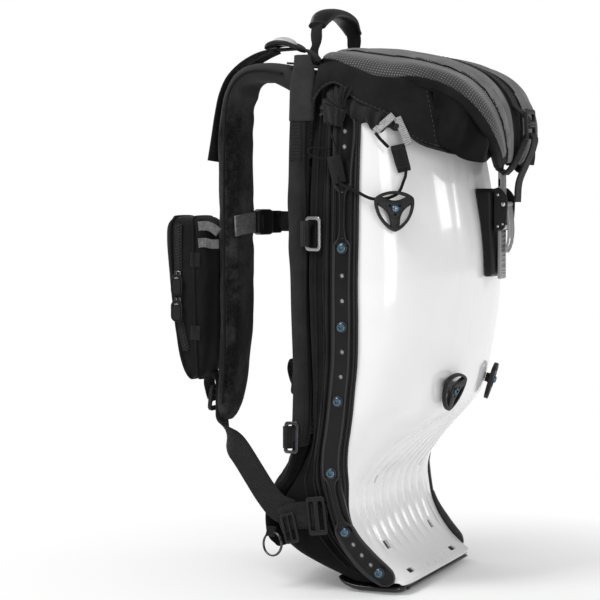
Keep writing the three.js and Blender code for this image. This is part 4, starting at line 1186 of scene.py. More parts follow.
def shell_side_point(z, across):
    """Point on the shell's left side, across from the rail line towards the face."""
    low = min(z, SHELL_TOP)
    depth = rail_y(low) - crown_y(low)
    run = unit(np.array([0, rail_y(low + 2) - rail_y(low - 2), 4.0]))
    reach = (1 + (14.4 / (0.74 * depth)) ** 5) ** -0.2
    y = across * run[2] * reach
    n = exponent(low)
    x = half_width(low) * (1 - (y / depth) ** n) ** (1 / n)
    return np.array([-x - 0.5, rail_y(low) - y, z])


def body_section(z):
    """Front, back, half width at the front and how far the back corner is drawn in."""
    low = min(max(z, SHELL_LOW), SHELL_TOP)
    front = float(rail_y(low)) + FLANGE + 4.6
    half = float(half_width(low)) - 2 - max(0, z - SHELL_TOP) * 0.25
    back = max(back_y(z), front + 5)
    taper = 3 + 10 * float(smooth(z, 70, 130))
    return front, back, half, taper


def make_binding():
    """Dark binding over the shell's rear edge, and the fabric that joins the edge to the body."""
    rows, edge = [], []
    for z in np.linspace(448, 22, 120):
        x, y = -float(half_width(z)), float(rail_y(z)) + FLANGE
        edge.append((x + 1.4, y, z))
        rows.append([(x + 3.5 + 0.4 * k, y - 3 + 3.5 * k, z) for k in range(5)])
    both = joined(tube(edge, 2.4, 10), sheet(np.array(rows), 1.0))
    emit_pair("shell_binding_{}", both, BLACK_RUBBER, "pack", "black_rubber")


def make_shell_liner():
    """Dark foam lining behind the shell wall, seen through its slots."""
    heights = np.linspace(440, 24, 120)
    turns = np.linspace(0.12, math.pi - 0.12, 61)
    rows = []
    for z in heights:
        half, n = half_width(z) - 5.5, exponent(z)
        deep = np.maximum(rail_y(z) - crown_y(z) - 6.0, 2.0)
        x = -half * bowed(np.cos(turns), 2 / n)
        y = rail_y(z) - deep * np.abs(np.sin(turns)) ** (2 / n)
        rows.append(np.stack([x, y, np.full_like(x, z)], axis=1))
    emit("shell_liner", sheet(np.array(rows), 1.2), BLACK_RUBBER, "pack", "black_rubber")


# ------------------------------------------------------------------ fabric body behind the shell
def body_ring(z, count=120):
    """Section of the fabric body: straight front, drawn-in rounded back corners."""
    front, back, half, taper = body_section(z)
    turns = full_turn(count)
    c, s = np.cos(turns), np.sin(turns)
    x = bowed(c, 2 / 9)
    y = bowed(s, 2 / 5)
    wide = half - taper * (y + 1) / 2
    mid, deep = (front + back) / 2, (back - front) / 2
    ring = np.stack([x * wide, mid + y * deep, np.full(count, float(z))], axis=1)
    return np.vstack([ring, ring[:1]])


def make_body():
    """Fabric body with slack folds, and the yoke on top of it."""
    heights = np.concatenate([[16.5, 18], np.linspace(20, 150, 60), np.linspace(153, 486, 90)])
    rings = np.array([resampled(body_ring(z), 161)[:-1] for z in heights])
    centre = rings.mean(axis=1, keepdims=True)
    out = unit((rings - centre) * np.array([0.35, 1, 0]))
    wave = rumple(rings, 46, 2.4) + rumple(rings, 17, 0.9, 31)
    soft = 0.25 + 0.75 * (1 - smooth(heights, 120, 200))
    rings = rings - out * (np.abs(wave) * soft[:, None])[:, :, None]
    emit("body_fabric", loft(rings), BODY_FABRIC, "pack", "black_fabric", ["pack_body"])
    top = []
    for z, inset in ((484, 0), (494, 0.5), (501, 2), (504, 7)):
        ring = resampled(body_ring(min(z, 500)), 161)[:-1]
        mid = np.array([0, 52, z])
        front = np.maximum(ring[:, 1], 37.0)
        ring = np.stack([ring[:, 0], front, np.full(160, float(z))], axis=1)
        ring[:, :2] = mid[:2] + (ring[:, :2] - mid[:2]) * (1 - inset / 120)
        top.append(ring)
    top = np.array(top)
    top[:, :, 1] = np.clip(top[:, :, 1], 36, 60)
    emit("body_yoke", loft(top), PANEL_FABRIC, "pack", "grey_fabric")


def edge_point(z, y, lift=0.0):
    """Point on the left side of the fabric body at a height and depth."""
    front, back, half, taper = body_section(z)
    share = np.clip((y - front) / (back - front), 0, 1)
    return np.array([-(half - taper * share) - lift, y, z])


def make_body_piping():
    """Zipper ridge and piping cords that run down the body's edge."""
    cords = []
    for start, radius, deep in ((0.10, 1.5, 0.4), (0.24, 1.2, 0.4), (0.55, 1.1, 0.2)):
        path = []
        for z in np.linspace(30, 480, 150):
            front, back, _, _ = body_section(z)
            y = front + start * min(back - front, 33.0)
            path.append(edge_point(z, y, deep + 0.25 * math.sin(z / 9)))
        cords.append(tube(path, radius, 8))
    form = joined(*cords)
    emit_pair("body_piping_{}", form, PIPING, "pack", "black_fabric")


def pad_ring(z, half, inset, count=96):
    """Section of a pad on the body's back."""
    y0 = back_y(z) + 1.2
    y1 = face_y(z) - inset * 0.6
    turns = full_turn(count)
    c, s = np.cos(turns), np.sin(turns)
    x = bowed(c, 2 / 7) * (half - inset)
    y = bowed(s, 2 / 4)
    return np.stack([x, (y0 + y1) / 2 + y * (y1 - y0) / 2, np.full(count, float(z))], axis=1)


def back_block(low, high, x0, x1):
    """One foam block of the back panel between two heights and two sides."""
    half = 100
    rings = []
    for t in np.linspace(0, 1, 14):
        z = low + (high - low) * t
        inset = 3.5 * (1 - math.sqrt(max(1 - (2 * abs(t - 0.5)) ** 6, 0)))
        rings.append(pad_ring(z, half, 1.5 + inset))
    form = loft(rings)
    middle, wide = (x0 + x1) / 2, (x1 - x0) / 2
    p = form.points.copy()
    p[:, 0] = middle + p[:, 0] / half * wide
    return Form(p, form.faces, form.uv)


def make_back():
    """Back panel: two columns of mesh-covered foam with an air channel, over a backing sheet."""
    backing = [pad_ring(z, 124.5, 0) for z in np.linspace(144, 497, 60)]
    backing = np.array(backing)
    backing[:, :, 1] = np.minimum(backing[:, :, 1], through(BODY_BACK, backing[:, :, 2]) + 9)
    emit("back_panel_sheet", loft(backing), PANEL_FABRIC, "pack", "grey_fabric")
    bands = [(153, 236), (240, 322), (326, 408), (412, 494)]
    for k, (low, high) in enumerate(bands):
        for x0, x1, name in ((-124, -14, "left"), (14, 124, "right")):
            form = back_block(low, high, x0, x1)
            form = inflated(form, 4.0, 5.0, 3.0, 14)
            replaced = ["back_pad"] if k == 0 and name == "left" else []
            emit(f"back_foam_{name}_{k}", form, BACK_MESH, "pack", "black_mesh", replaced, subdivide=1)
    rows = []
    for z in np.linspace(152, 494, 50):
        y = back_y(z) + 9.6
        rows.append([(x, y + 0.8 * math.cos(x / 14 * math.pi), z) for x in np.linspace(-13, 13, 9)])
    emit("back_channel", sheet(np.array(rows)[:, ::-1], 1.2), BODY_FABRIC, "pack", "black_fabric")
    lumbar = []
    for z in np.linspace(45, 152, 18):
        end = max(abs(z - 98.5) - 46, 0) / 7.5
        lumbar.append(pad_ring(z, 115.5 + (z - 47) * 0.09, 1.6 + 5.0 * end**2))
    form = inflated(loft(lumbar), 4.0, 5.0, 3.0, 14)
    emit("lumbar_foam", form, BODY_FABRIC, "pack", "black_fabric", ["lumbar_pad"], subdivide=1)
    seams = []
    for x in (-62, -20, 20, 62):
        path = []
        for t in np.linspace(0, 1, 24):
            z = 56 + 84 * t
            path.append((x * (0.9 + 0.1 * t), face_y(z) + 0.2, z))
        seams.append(tube(path, 0.9, 6))
    emit("lumbar_seams", joined(*seams), PIPING, "pack", "black_fabric")


def make_panel_edge():
    """Grey edge of the back panel with two piping ridges, a paler top patch and a ribbed insert."""
    cords, rows = [], []
    heights = np.linspace(150, 500, 110)
    for z in heights:
        back, face = back_y(z), face_y(z)
        bulge = 1.2 * math.exp(-(((z - 372) / 16) ** 2)) + 1.2 * math.exp(-(((z - 330) / 14) ** 2))
        x = 123.5 if z < 450 else 123.5 - (z - 450) * 0.06
        rows.append([
            (-(x - 4), back + 0.5, z), (-(x + 1.2), back + 1.5, z), (-(x + 2.2), (back + face) / 2, z),
            (-(x + 0.8), face - 2 + bulge, z), (-(x - 7), face + 0.6 + bulge, z),
            (-(x - 16), face + 0.4, z),
        ])
    edge = sheet(np.array(rows)[:, ::-1], 1.4)
    for depth, radius in ((0.6, 1.5), (4.2, 1.25)):
        path = []
        for z in heights:
            x = 125.2 - max(z - 450, 0) * 0.06
            path.append((-x, back_y(z) + depth + 0.6 * math.sin(z / 31), z))
        cords.append(tube(path, radius, 8))
    patch = []
    for z in np.linspace(449, 509, 24):
        x = 126.6 - max(z - 450, 0) * 0.07
        near = 63.5 - 3.5 * smooth(z, 480, 506)
        far = 41 + 5 * smooth(z, 492, 509)
        patch.append([
            (-(x - 1.5), near, z), (-x, near - 3, z), (-x, (near + far) / 2, z), (-x, far + 3, z),
            (-(x - 2), far, z),
        ])
    emit_pair("panel_edge_{}", edge, PANEL_FABRIC, "pack", "grey_fabric")
    ridge = joined(*cords)
    emit_pair("panel_piping_{}", ridge, PIPING, "pack", "black_fabric")
    top = sheet(np.array(patch), 1.6)
    emit_pair("panel_patch_{}", top, PATCH_FABRIC, "pack", "grey_fabric")
    path = [(-126.4, 57.4, z) for z in np.linspace(412, 449, 20)]
    insert = ribbon(np.array(path), (0, 1, 0), 12, 1.4)
    emit_pair("panel_insert_{}", insert, RIBBED_WEB, "pack", "black_webbing")


# ------------------------------------------------------------------ cord hooks
def triangle_outline(reach, soft=0.72, count=60, sag=1.02):
    """Rounded triangle with one corner down."""
    corners = [math.pi * 1.5 + k * 2 * math.pi / 3 for k in range(3)]
    points = []
    for k in range(3):
        a, b = corners[k], corners[(k + 1) % 3]
        p = np.array([math.cos(a), math.sin(a)]) * reach
        q = np.array([math.cos(b), math.sin(b)]) * reach
        mid = (p + q) / 2
        m = mid / np.linalg.norm(mid) * reach * sag
        for t in np.linspace(0, 1, count // 3, endpoint=False):
            points.append((1 - t) ** 2 * p + 2 * t * (1 - t) * m + t * t * q)
    points = np.array(points)
    ring = np.vstack([points] * 3)
    kernel = np.ones(5) / 5
    for _ in range(2):
        ring = np.stack([np.convolve(ring[:, k], kernel, mode="same") for k in range(2)], axis=1)
    n = len(points)
    smoothed = ring[n:2 * n]
    smoothed = points * (1 - soft) + smoothed * soft
    return [tuple(p) for p in smoothed]


def hook_form():
    """Cord hook: outer ring, three spokes that meet in a triangular hub, three small holes."""
    outer = triangle_outline(22.0)
    slots = []
    for k in range(3):
        turn = k * 2 * math.pi / 3
        cs, sn = math.cos(turn), math.sin(turn)
        top = [(x, 13.9 - 0.020 * x * x) for x in np.linspace(-11.6, 11.6, 13)]
        low = [(x * 0.97, 7.8 + 0.030 * x * x) for x in np.linspace(11.6, -11.6, 13)]
        loop = top + low[1:-1]
        slots.append([(x * cs - y * sn, x * sn + y * cs) for x, y in loop])
    corners = [math.pi / 6 + k * 2 * math.pi / 3 for k in range(3)]
    pins = [circle(0.95, (5.4 * math.cos(a), 5.4 * math.sin(a)), 12) for a in corners]
    ring = plate([outer] + slots + pins, HOOK_THICK, 0.9)
    hub_line = []
    for a in full_turn(48):
        reach = 7.9 * (1 + 0.10 * math.cos(3 * (a - math.pi * 1.5)))
        hub_line.append((reach * math.cos(a), reach * math.sin(a)))
    hub = plate([hub_line] + pins + [circle(2.0)], 1.0, 0.4).moved(0, 0, HOOK_THICK - 0.3)
    stem = lathe([(4.5, -HOOK_STANDOFF + 0.3), (4.8, -1), (7.4, 0.4), (7.2, 1.2)], 32)
    return joined(ring, hub, stem)


def make_hooks():
    """Two cord hooks on each side, each held by one screw."""
    for level, (x, z) in (("upper", HOOK_UPPER), ("lower", HOOK_LOWER)):
        at, out = on_shell(x, z)
        seat = at + out * HOOK_STANDOFF
        hook = hook_form().placed(seat, out)
        head = screw(3.3).placed(seat + out * (HOOK_THICK + 0.3), out)
        emit_pair(
            f"cord_hook_{level}_{{}}", hook, BLACK_PLASTIC, "pack", "black_plastic",
            [f"hook_{level}_{{}}"], sharp=40,
        )
        emit_pair(
            f"hook_screw_{level}_{{}}", head, SCREW_STEEL, "pack", "blue_steel",
            [f"screw_{level}_{{}}"], sharp=40,
        )


def tab_loop(at, out, lean, high, wide=13.0, thick=3.0):
    """Folded webbing tab: a loop of tape pressed flat, sewn across."""
    turns = np.linspace(0, 2 * math.pi, 41)[:-1]
    x = thick * 0.42 * np.sin(turns) + 0.5 * np.sin(2 * turns)
    y = high / 2 * bowed(np.cos(turns), 0.35)
    path = np.stack([np.zeros(40), y, x], axis=1)
    half = wide / 2
    section = [
        (1, 0), (0.96, 1), (0.4, 1.1), (-0.4, 1.1), (-0.96, 1), (-1, 0), (-0.96, -1), (0.96, -1),
    ]
    rings = []
    for i in range(40):
        along = unit(path[(i + 1) % 40] - path[i - 1])
        off = np.cross((1, 0, 0), along)
        rings.append([path[i] + np.array([half * a, 0, 0]) + off * b * 0.8 for a, b in section])
    rings = np.array(rings + rings[:1])
    faces, quads = grid_faces(41, 8, closed=True)
    wide_grid = np.concatenate([rings, rings[:, :1]], axis=1)
    coordinates = grid_uv(wide_grid)
    uv = [[tuple(coordinates[i]) for i in q] for q in quads]
    faces = [tuple(i % 320 for i in f) for f in faces]
    form = Form(rings[:-1].reshape(-1, 3), faces, uv)
    return form.placed(at, out, lean)


def make_cords():
    """Elastic cord: from the rear tab behind the upper hook's ring and up to the front tab."""
    front_at, front_out = on_shell(-120, 412)
    front = tab_loop(front_at + front_out * 6.6, front_out, (0, 0.3, 1), 24)
    rear = tab_loop((-float(half_width(402)) - 7.4, 10, 403), (-1, 0, 0), (0, 0.22, 1), 24)
    start = np.array([-float(half_width(392)) - 7, 7, 391])
    hook, out = on_shell(*HOOK_UPPER)
    ahead = unit(np.cross((0, 0, 1), out))
    rise = np.cross(out, ahead)
    corner = hook - ahead * 21 + rise * 10 + out * 5.0
    over = hook + ahead * 7 + rise * 19.5 + out * 6.0
    end, end_out = on_shell(-120, 396)
    end = end + end_out * 6.7
    path = spline([
        start + (0, 1.6, 6), start, start * 0.5 + corner * 0.5 + (-1.0, 0, 0), corner,
        hook - ahead * 6 + rise * 10.5 + out * 2.6, hook + ahead * 4 + rise * 14.5 + out * 3.4, over,
        over * 0.5 + end * 0.5, end, end + (0, -0.5, 7),
    ], 120)
    cord = tube(path, 1.45, 10)
    legs = [
        tube(
            spline([(-140.5, 20, 446), (-143.2, 16, 436), (-144.4, 11, 424), (-144.4, 9, 412)], 30),
            0.95, 8,
        ),
        tube(
            spline([(-141.5, 5.5, 455), (-143.5, 5, 440), (-144.6, 5.6, 426), (-144.4, 7.5, 412)], 30),
            0.95, 8,
        ),
        tube(spline([
            (-142.4, 17, 413), (-144.4, 26, 413.5), (-144.6, 36, 417), (-144.0, 37.5, 422), (-143.6, 30, 423),
            (-142.2, 18, 422),
        ], 30), 0.95, 8),
    ]
    link = [flap_point(y, z, 7.0) for y, z in ((-25, 436), (-29, 431), (-33, 427), (-37, 423))]
    legs.append(tube(spline(link, 24), 1.5, 8))
    bars = [
        stitches([(-6, y, 2.2), (6, y, 2.2)], (0, 0, 1), 1.6, 0.8, 0.22) for y in (-8.5, 8.5)
    ]
    emit_pair("cord_{}", joined(cord, *legs), CORD, "pack", "black_webbing", ["elastic_cord_{}"])
    emit_pair("tab_front_{}", front, BLACK_WEB, "pack", "black_webbing", ["cord_tab_front_{}"])
    emit_pair("tab_rear_{}", rear, BLACK_WEB, "pack", "black_webbing", ["cord_tab_rear_{}"])
    seams = joined(*[b.placed(front_at + front_out * 6.6, front_out, (0, 0.3, 1)) for b in bars])
    emit_pair("tab_stitches_{}", seams, THREAD, "pack", "black_webbing")


# ------------------------------------------------------------------ collar, lid and flaps
def collar_point(share, z, ripple=0.0):
    """Point of the gathered collar at a share of the way round from the left and a height."""
    rows = np.array([[428, 127, -67, 12], [446.6, 124, -61, 12], [453, 126, -62, 13], [467, 117, -60, 13],
                     [485, 100, -52, 12]], float)
    half = float(through(rows[:, [0, 1]], z))
    y0 = float(through(rows[:, [0, 2]], z))
    y1 = float(through(rows[:, [0, 3]], z))
    c, s = math.cos(share * math.pi), math.sin(share * math.pi)
    x = -bowed(c, 2 / 2.3) * (half + ripple)
    y = y1 - (y1 - y0 + ripple) * abs(s) ** (2 / 2.3)
    return np.array([x, y, z])


def make_collar():
    """Gathered ring: pleats that fan out of the elastic hem just above the shell's rim."""
    hem = 447
    heights = [430, 440, 446, 449, 452, 455, 459, 464, 470, 477, 484]
    rows = []
    for z in heights:
        puff = 3.2 * math.exp(-(((z - 455) / 9) ** 2)) + 0.4
        deep = 1.8 * math.exp(-(((z - 457) / 10) ** 2)) + 0.2
        row = []
        for s in np.linspace(0, 1, 421):
            wander = 0.8 * noise.noise(Vector((s * 9, 3.0, 0)))
            fold = math.sin(s * 95 * (1 + 0.04 * math.sin(s * 14)) + wander * 3)
            above = 0.45 * puff + deep * fold
            row.append(collar_point(s, z, above if z > hem else 0.1 * deep * fold - 0.2))
        rows.append(row)
    rows = np.array(rows)
    emit("collar_gather", sheet(rows, 1.4), BODY_FABRIC, "pack", "black_fabric", ["collar"])


def make_fan():
    """Fan of deep pleats at the rear corner, drawn together in a knot, and the cuff below it."""
    knot = np.array([-139.5, 6.0, 457.0])
    rows = []
    for t in np.linspace(0, 1, 19):
        row = []
        for q in np.linspace(0, 1, 181):
            a = math.radians(190 - 118 * q)
            reach = 29 * (0.08 + 0.92 * t)
            phase = q * 2 * math.pi * 7.5 + 1.3 * math.sin(q * 7) + 0.5 * math.sin(q * 17 + t * 2)
            wave = math.sin(phase)
            size = 0.8 + 0.3 * math.sin(q * 23)
            pleat = bowed(wave, 0.8) * size * (0.3 + 2.9 * math.sin(t * math.pi * 0.8))
            y = knot[1] - reach * math.cos(a)
            z = knot[2] + reach * math.sin(a)
            lean = 0.2 * max(z - knot[2], 0)
            x = knot[0] + 17.0 * t**1.8 + lean - 3.0 * math.sin(t * math.pi) - pleat
            row.append((x, y, z))
        rows.append(row)
    form = sheet(np.array(rows)[:, ::-1], 1.0)
    cuff = []
    for t in np.linspace(0, 1, 11):
        ring = []
        for a in full_turn(72):
            pleat = 1.1 * math.sin(a * 9 + t * 2.5 + math.sin(a * 3)) * (1 - 0.3 * t)
            wide = 11.5 - 3.0 * t
            deep = 4.2 + 1.2 * math.sin(t * math.pi) - 1.4 * t
            y = 14.5 + 2.0 * t + (wide + 0.4 * pleat) * math.cos(a)
            x = knot[0] + 2.0 + (deep + pleat) * math.sin(a)
            ring.append((x, y, 460 - 17 * t + 0.25 * (y - 14)))
        cuff.append(ring)
    both = joined(form, loft(cuff))
    emit_pair("collar_fan_{}", both, GATHER_FABRIC, "pack", "black_fabric")


def make_ruffle():
    """Gathered hem that hangs from under the flap's edge and hides the shell's rim."""
    top = spline([(0, 8, 464), (0, 2, 469), (0, -16, 462), (0, -34, 454), (0, -50, 444)], 161)
    low = spline([(0, 5, 454), (0, -4, 448), (0, -14, 445), (0, -24, 437), (0, -36, 440), (0, -49, 434)], 161)
    rows = []
    for t in np.linspace(0, 1, 13):
        row = []
        for i in range(161):
            q = i / 160
            wave = math.sin(q * 2 * math.pi * 5.5 + 1.6 * math.sin(q * 9) + t * 1.5)
            fold = bowed(wave, 0.8) * 1.9 * math.sin(math.pi * (0.12 + 0.76 * t))
            swell = 4.2 * math.sin(t * math.pi)
            at = top[i] + (low[i] - top[i]) * t
            hem = 1.1 * math.cos(q * 2 * math.pi * 5.5) * t
            row.append(flap_point(at[1], at[2] + hem, 2.4 + swell + fold))
        rows.append(row)
    form = sheet(np.array(rows), 1.0)
    emit_pair("collar_ruffle_{}", form, GATHER_FABRIC, "pack", "black_fabric")


# Share across, half width as a share, height.
LID_RIDGES = [(0.318, 0.036, 4.6), (0.405, 0.032, 4.2), (0.595, 0.036, 4.6), (0.685, 0.042, 5.2)]


def ridge_drift(centre, row):
    """Ridges draw together towards the lid's front."""
    return (0.5 - centre) * 0.16 * (row / 12)


def lid_point(row, share):
    """Point of the lid's outer face at a row of LID_ROWS (fractional) and a share across."""
    index = np.arange(len(LID_ROWS), dtype=float)
    yc, zc, ye, ze, half = [float(through(np.stack([index, LID_ROWS[:, k]], axis=1), row)) for k in range(5)]
    a = share * math.pi
    n = 2 / 2.7
    x = -half * bowed(math.cos(a), n)
    lift = math.sin(a) ** n if 0 < share < 1 else 0.0
    return np.array([x, ye + (yc - ye) * lift, ze + (zc - ze) * lift])


def make_lid():
    """Padded lid: mesh side panels, two padded ridges on each side of the middle strip."""
    rows_at = np.linspace(0, 12, 97)
    shares = np.linspace(0.0, 1.0, 221)
    grid = np.array([[lid_point(r, s) for s in shares] for r in rows_at])
    normals = grid_normals(grid)
    shade = np.zeros(grid.shape[:2])
    padded = np.zeros(grid.shape[:2], bool)
    body = np.array([math.sin(min(max(r / 12, 0), 1) * math.pi) ** 0.3 if 0 < r < 12 else 0 for r in rows_at])
    for centre, wide, high in LID_RIDGES:
        drift = ridge_drift(centre, rows_at)
        gap = (shares[None, :] - (centre + drift)[:, None]) / wide
        shade += high * np.sqrt(np.clip(1 - gap**2, 0, 1)) * body[:, None]
        padded |= np.abs(gap) < 1.0
    edge = np.minimum(shares, 1 - shares)
    shade += (-2.2 * (1 - smooth(edge, 0.0, 0.045)))[None, :]
    panel = np.exp(-(((edge - 0.17) / 0.07) ** 2))[None, :]
    shade += 2.4 * panel * body[:, None]
    shade -= 1.1 * np.exp(-(((edge - 0.055) / 0.008) ** 2))[None, :]
    shade += rumple(grid, 34, 0.9)
    grid = grid + normals * shade[:, :, None]
    obj = emit("lid_pad", sheet(grid, 8.0), LID_FABRIC, "lid_assembly", "grey_fabric", ["lid"])
    obj.data.materials.append(LID_MESH)
    obj.data.materials.append(FLAP_FABRIC)
    paint_lid(obj, rows_at, shares, padded)
    lid_trim(grid, normals, rows_at, shares)


def paint_lid(obj, rows_at, shares, padded):
    """Grey ridges, mesh side panels, a dark border and lining, and troughs in dark fabric as painted shade.
    """
    cols = len(shares)
    for polygon in obj.data.polygons:
        index = min(polygon.vertices)
        if max(polygon.vertices) >= cols * len(rows_at):
            polygon.material_index = 2
            continue
        row, col = divmod(index, cols)
        depth = min(shares[col], 1 - shares[col])
        front = rows_at[row] / 12
        if depth < 0.052:
            polygon.material_index = 2
        elif padded[row, col]:
            polygon.material_index = 0
        elif depth < 0.33:
            polygon.material_index = 1 if front < 0.9 else 2
        else:
            # Troughs between the ridges take the dark fabric: painted shade.
            polygon.material_index = 2


def lid_line(grid, normals, rows_at, shares, share_at, limits, lift):
    """Line over the lid's face; share_at(row) gives where it runs across."""
    path = []
    for r in np.linspace(*limits, 70):
        col = int(round(share_at(r) * (len(shares) - 1)))
        line = int(round(r / 12 * (len(rows_at) - 1)))
        path.append(grid[line, col] + normals[line, col] * lift)
    return resampled(np.array(path), 60)


def lid_trim(grid, normals, rows_at, shares):
    """Piping beside the ridges and along the border, and the webbing strip down the middle."""
    piping = []
    for centre, wide, _ in LID_RIDGES:
        for sign in (-1, 1):
            path = lid_line(grid, normals, rows_at, shares,
                            lambda r: centre + sign * wide * 1.02 + ridge_drift(centre, r), (0.7, 11.6), 0.25)
            piping.append(tube(path, 0.75, 6))
    for share in (0.055, 0.945):
        path = lid_line(grid, normals, rows_at, shares, lambda r: share, (0.4, 11.7), 0.3)
        piping.append(tube(path, 1.0, 6))
    emit("lid_piping", joined(*piping), PIPING, "lid_assembly", "black_fabric")
    path = lid_line(grid, normals, rows_at, shares, lambda r: 0.5, (1.0, 8.0), 1.6)
    path = np.vstack([path, [(0, -123.5, 458.5), (0, -129.4, 452.5), (0, -131.9, 443.2)]])
    strip = ribbon(resampled(path, 70), (1, 0, 0), 20, 1.8)
    emit("lid_strap", strip, BLACK_WEB, "lid_assembly", "black_webbing")
    lines = []
    for x in (-8, 8):
        lines.append(stitches(path[4:-6] + np.array([x, -0.7, 0.7]), (0, -0.7, 0.7), 2.4, 1.8, 0.25, 0.2))
    emit("lid_strap_stitches", joined(*lines), THREAD, "lid_assembly", "black_webbing")


# Depth and height along the flap's lower and upper edges, and points along the gusset's edges.
FLAP_LOW = [
    (38, 466), (31, 478), (20, 483), (9, 478), (-2, 468), (-18, 460), (-35, 452), (-46, 442),
    (-60, 428), (-76, 421), (-90, 417), (-102, 420),
]
FLAP_TOP = [
    (38, 500), (28, 503), (18, 502), (8, 499), (-4, 495), (-16, 490), (-28, 488), (-40, 487),
    (-50, 486), (-60, 483), (-70, 479), (-80, 472),
]
GUSSET_LOW = [
    (-108, -74, 428), (-107, -88, 420), (-102, -100, 413), (-93, -110, 410), (-80, -116, 411),
    (-64, -117, 418),
]
GUSSET_TOP = [
    (-110, -72, 476), (-105, -84, 470), (-99, -95, 461), (-90, -104, 450), (-78, -110, 440), (-64, -113, 430),
]


def flap_point(y, z, off):
    """Point on the lid's side flap: hangs outside the shell's mouth and leans in above it."""
    low = min(z, SHELL_TOP)
    depth = np.clip((float(rail_y(low)) - y) / (float(rail_y(low) - crown_y(low)) + 26), 0, 0.995)
    n = 2.5
    half = float(half_width(low)) + 1.0
    side = half * (1 - depth**n) ** (1 / n)
    lean = max(z - SHELL_TOP, 0)
    return np.array([-(side - lean * 0.16 - lean**2 * 0.0032) - off, y, z])


def make_flap():
    """Fabric flap under the lid's side with a wide folded front hem, and the gusset behind it."""
    low = spline([(0, y, z) for y, z in FLAP_LOW], 141)
    top = spline([(0, y, z) for y, z in FLAP_TOP], 141)
    rows = []
    for t in np.linspace(0, 1, 26):
        row = []
        for i in range(141):
            share = i / 140
            at = low[i] + (top[i] - low[i]) * t
            hollow = math.exp(-(((share - 0.52 - 0.14 * t) / 0.09) ** 2))
            hem = float(smooth(share, 0.862, 0.90))
            off = 4.6 + 2.8 * math.sin(t * math.pi) + 1.5 * share - 3.2 * hollow * (1 - t)
            off += 3.0 * hem * (1 - 0.6 * t) + 7.0 * float(smooth(share, 0.90, 1.0)) * (1 - t)
            off -= 1.6 * math.exp(-(((share - 0.862) / 0.010) ** 2))
            row.append(flap_point(at[1], at[2], off))
        rows.append(row)
    grid = np.array(rows)
    normals = grid_normals(grid[:, ::-1])[:, ::-1]
    grid = grid + normals * rumple(grid, 24, 1.2)[:, :, None]
    out = np.array([-1.0, 0, 0])
    seams = [
        stitches(grid[1] * 0.45 + grid[2] * 0.55 + out * 0.4, out, 2.4, 2.0, 0.34, 0.4),
        stitches(grid[1:24, 117] + out * 0.5, out, 2.4, 2.0, 0.34, 0.4),
    ]
    hem = tube(np.vstack([grid[0], grid[1:24, 140]]) + np.array([-0.4, 0, 0.2]), 1.0, 8)
    emit_pair(
        "lid_flap_{}", sheet(grid[::-1], 1.5), FLAP_FABRIC, "lid_assembly", "black_fabric",
        ["lid_wing_{}"],
    )
    emit_pair("lid_flap_stitches_{}", joined(*seams), THREAD, "lid_assembly", "black_fabric")
    emit_pair("lid_flap_hem_{}", hem, GATHER_FABRIC, "lid_assembly", "black_fabric")
    emit_pair("lid_gusset_{}", gusset_form(), GUSSET_FABRIC, "lid_assembly", "black_fabric")
    tabs = []
    for high, end, wide in (((-40, 452), (-24, 437), 7.0), ((-43, 450), (-54, 425), 7.5)):
        path = [flap_point(high[0] + (end[0] - high[0]) * t, high[1] + (end[1] - high[1]) * t, 8.6 - 2.5 * t)
                for t in np.linspace(0, 1, 12)]
        across = (0, high[1] - end[1], end[0] - high[0])
        tabs.append(ribbon(np.array(path), across, wide, 1.4))
    tab = joined(*tabs)
    emit_pair("lid_tabs_{}", tab, GREY_WEB, "pack", "grey_webbing")


def gusset_form():
    """Slack fabric between the flap's front edge and the lid's border, with two deep folds."""
    low = spline(GUSSET_LOW, 81)
    top = spline(GUSSET_TOP, 81)
    rows = []
    for t in np.linspace(0, 1, 22):
        row = []
        for i in range(81):
            q = i / 80
            at = low[i] + (top[i] - low[i]) * t
            fold = 5.0 * math.sin(q * 13 - t * 3.5) * math.sin(math.pi * (0.15 + 0.75 * t))
            out = unit(np.array([-0.8 + 0.5 * q, -0.4 - 0.5 * q, 0]))
            row.append(at + out * (fold - 2.5))
        rows.append(row)
    grid = np.array(rows)
    return sheet(grid[::-1], 1.2)


# ------------------------------------------------------------------ closure
def make_closure():
    """Slotted lock on the lid, the webbing it holds, and the ladder buckle below."""
    slots = [rounded(23, 9, 1.5, at=(0, -6.5)), rounded(23, 7, 1.5, at=(0, 6.5))]
    lock = plate([rounded(31, 29, 3.5)] + slots, 3.4, 0.8).placed((0, -130.3, LOCK_Z), (0, -1, 0.05))
    emit("lid_lock", lock, BLACK_PLASTIC, "lid_assembly", "black_plastic", ["lid_ladder_lock"], sharp=40)
    ribs = [
        block(20, 1.4, 1.2, 0.4).placed((0, -134.0, LOCK_Z + k), (0, -1, 0.05))
        for k in (-1.5, 1.5, -12.8)
    ]
    emit("lid_lock_ribs", joined(*ribs), BLACK_PLASTIC, "lid_assembly", "black_plastic")
    path = spline([
        (0, -108, 399.5), (0, -113.4, 405), (0, -118.6, 413), (0, -123.8, 424), (0, -127.6, 433),
        (0, -131.6, 438.4), (0, -136.4, 434.5), (0, -134.6, 423), (0, -128, 408), (0, -121.5, 392),
        (0, -120, 373),
    ], 90)
    emit_blend(
        "closure_tape", ribbon(path, (1, 0, 0), WEB_NARROW, WEB_THICK), BLACK_WEB,
        ("lid_assembly", "closure_strap"), (0, -130, 436), (0, -122, 428), "black_webbing",
        ["closure_webbing"],
    )
    make_ladder()
    make_block()
    make_buckle()


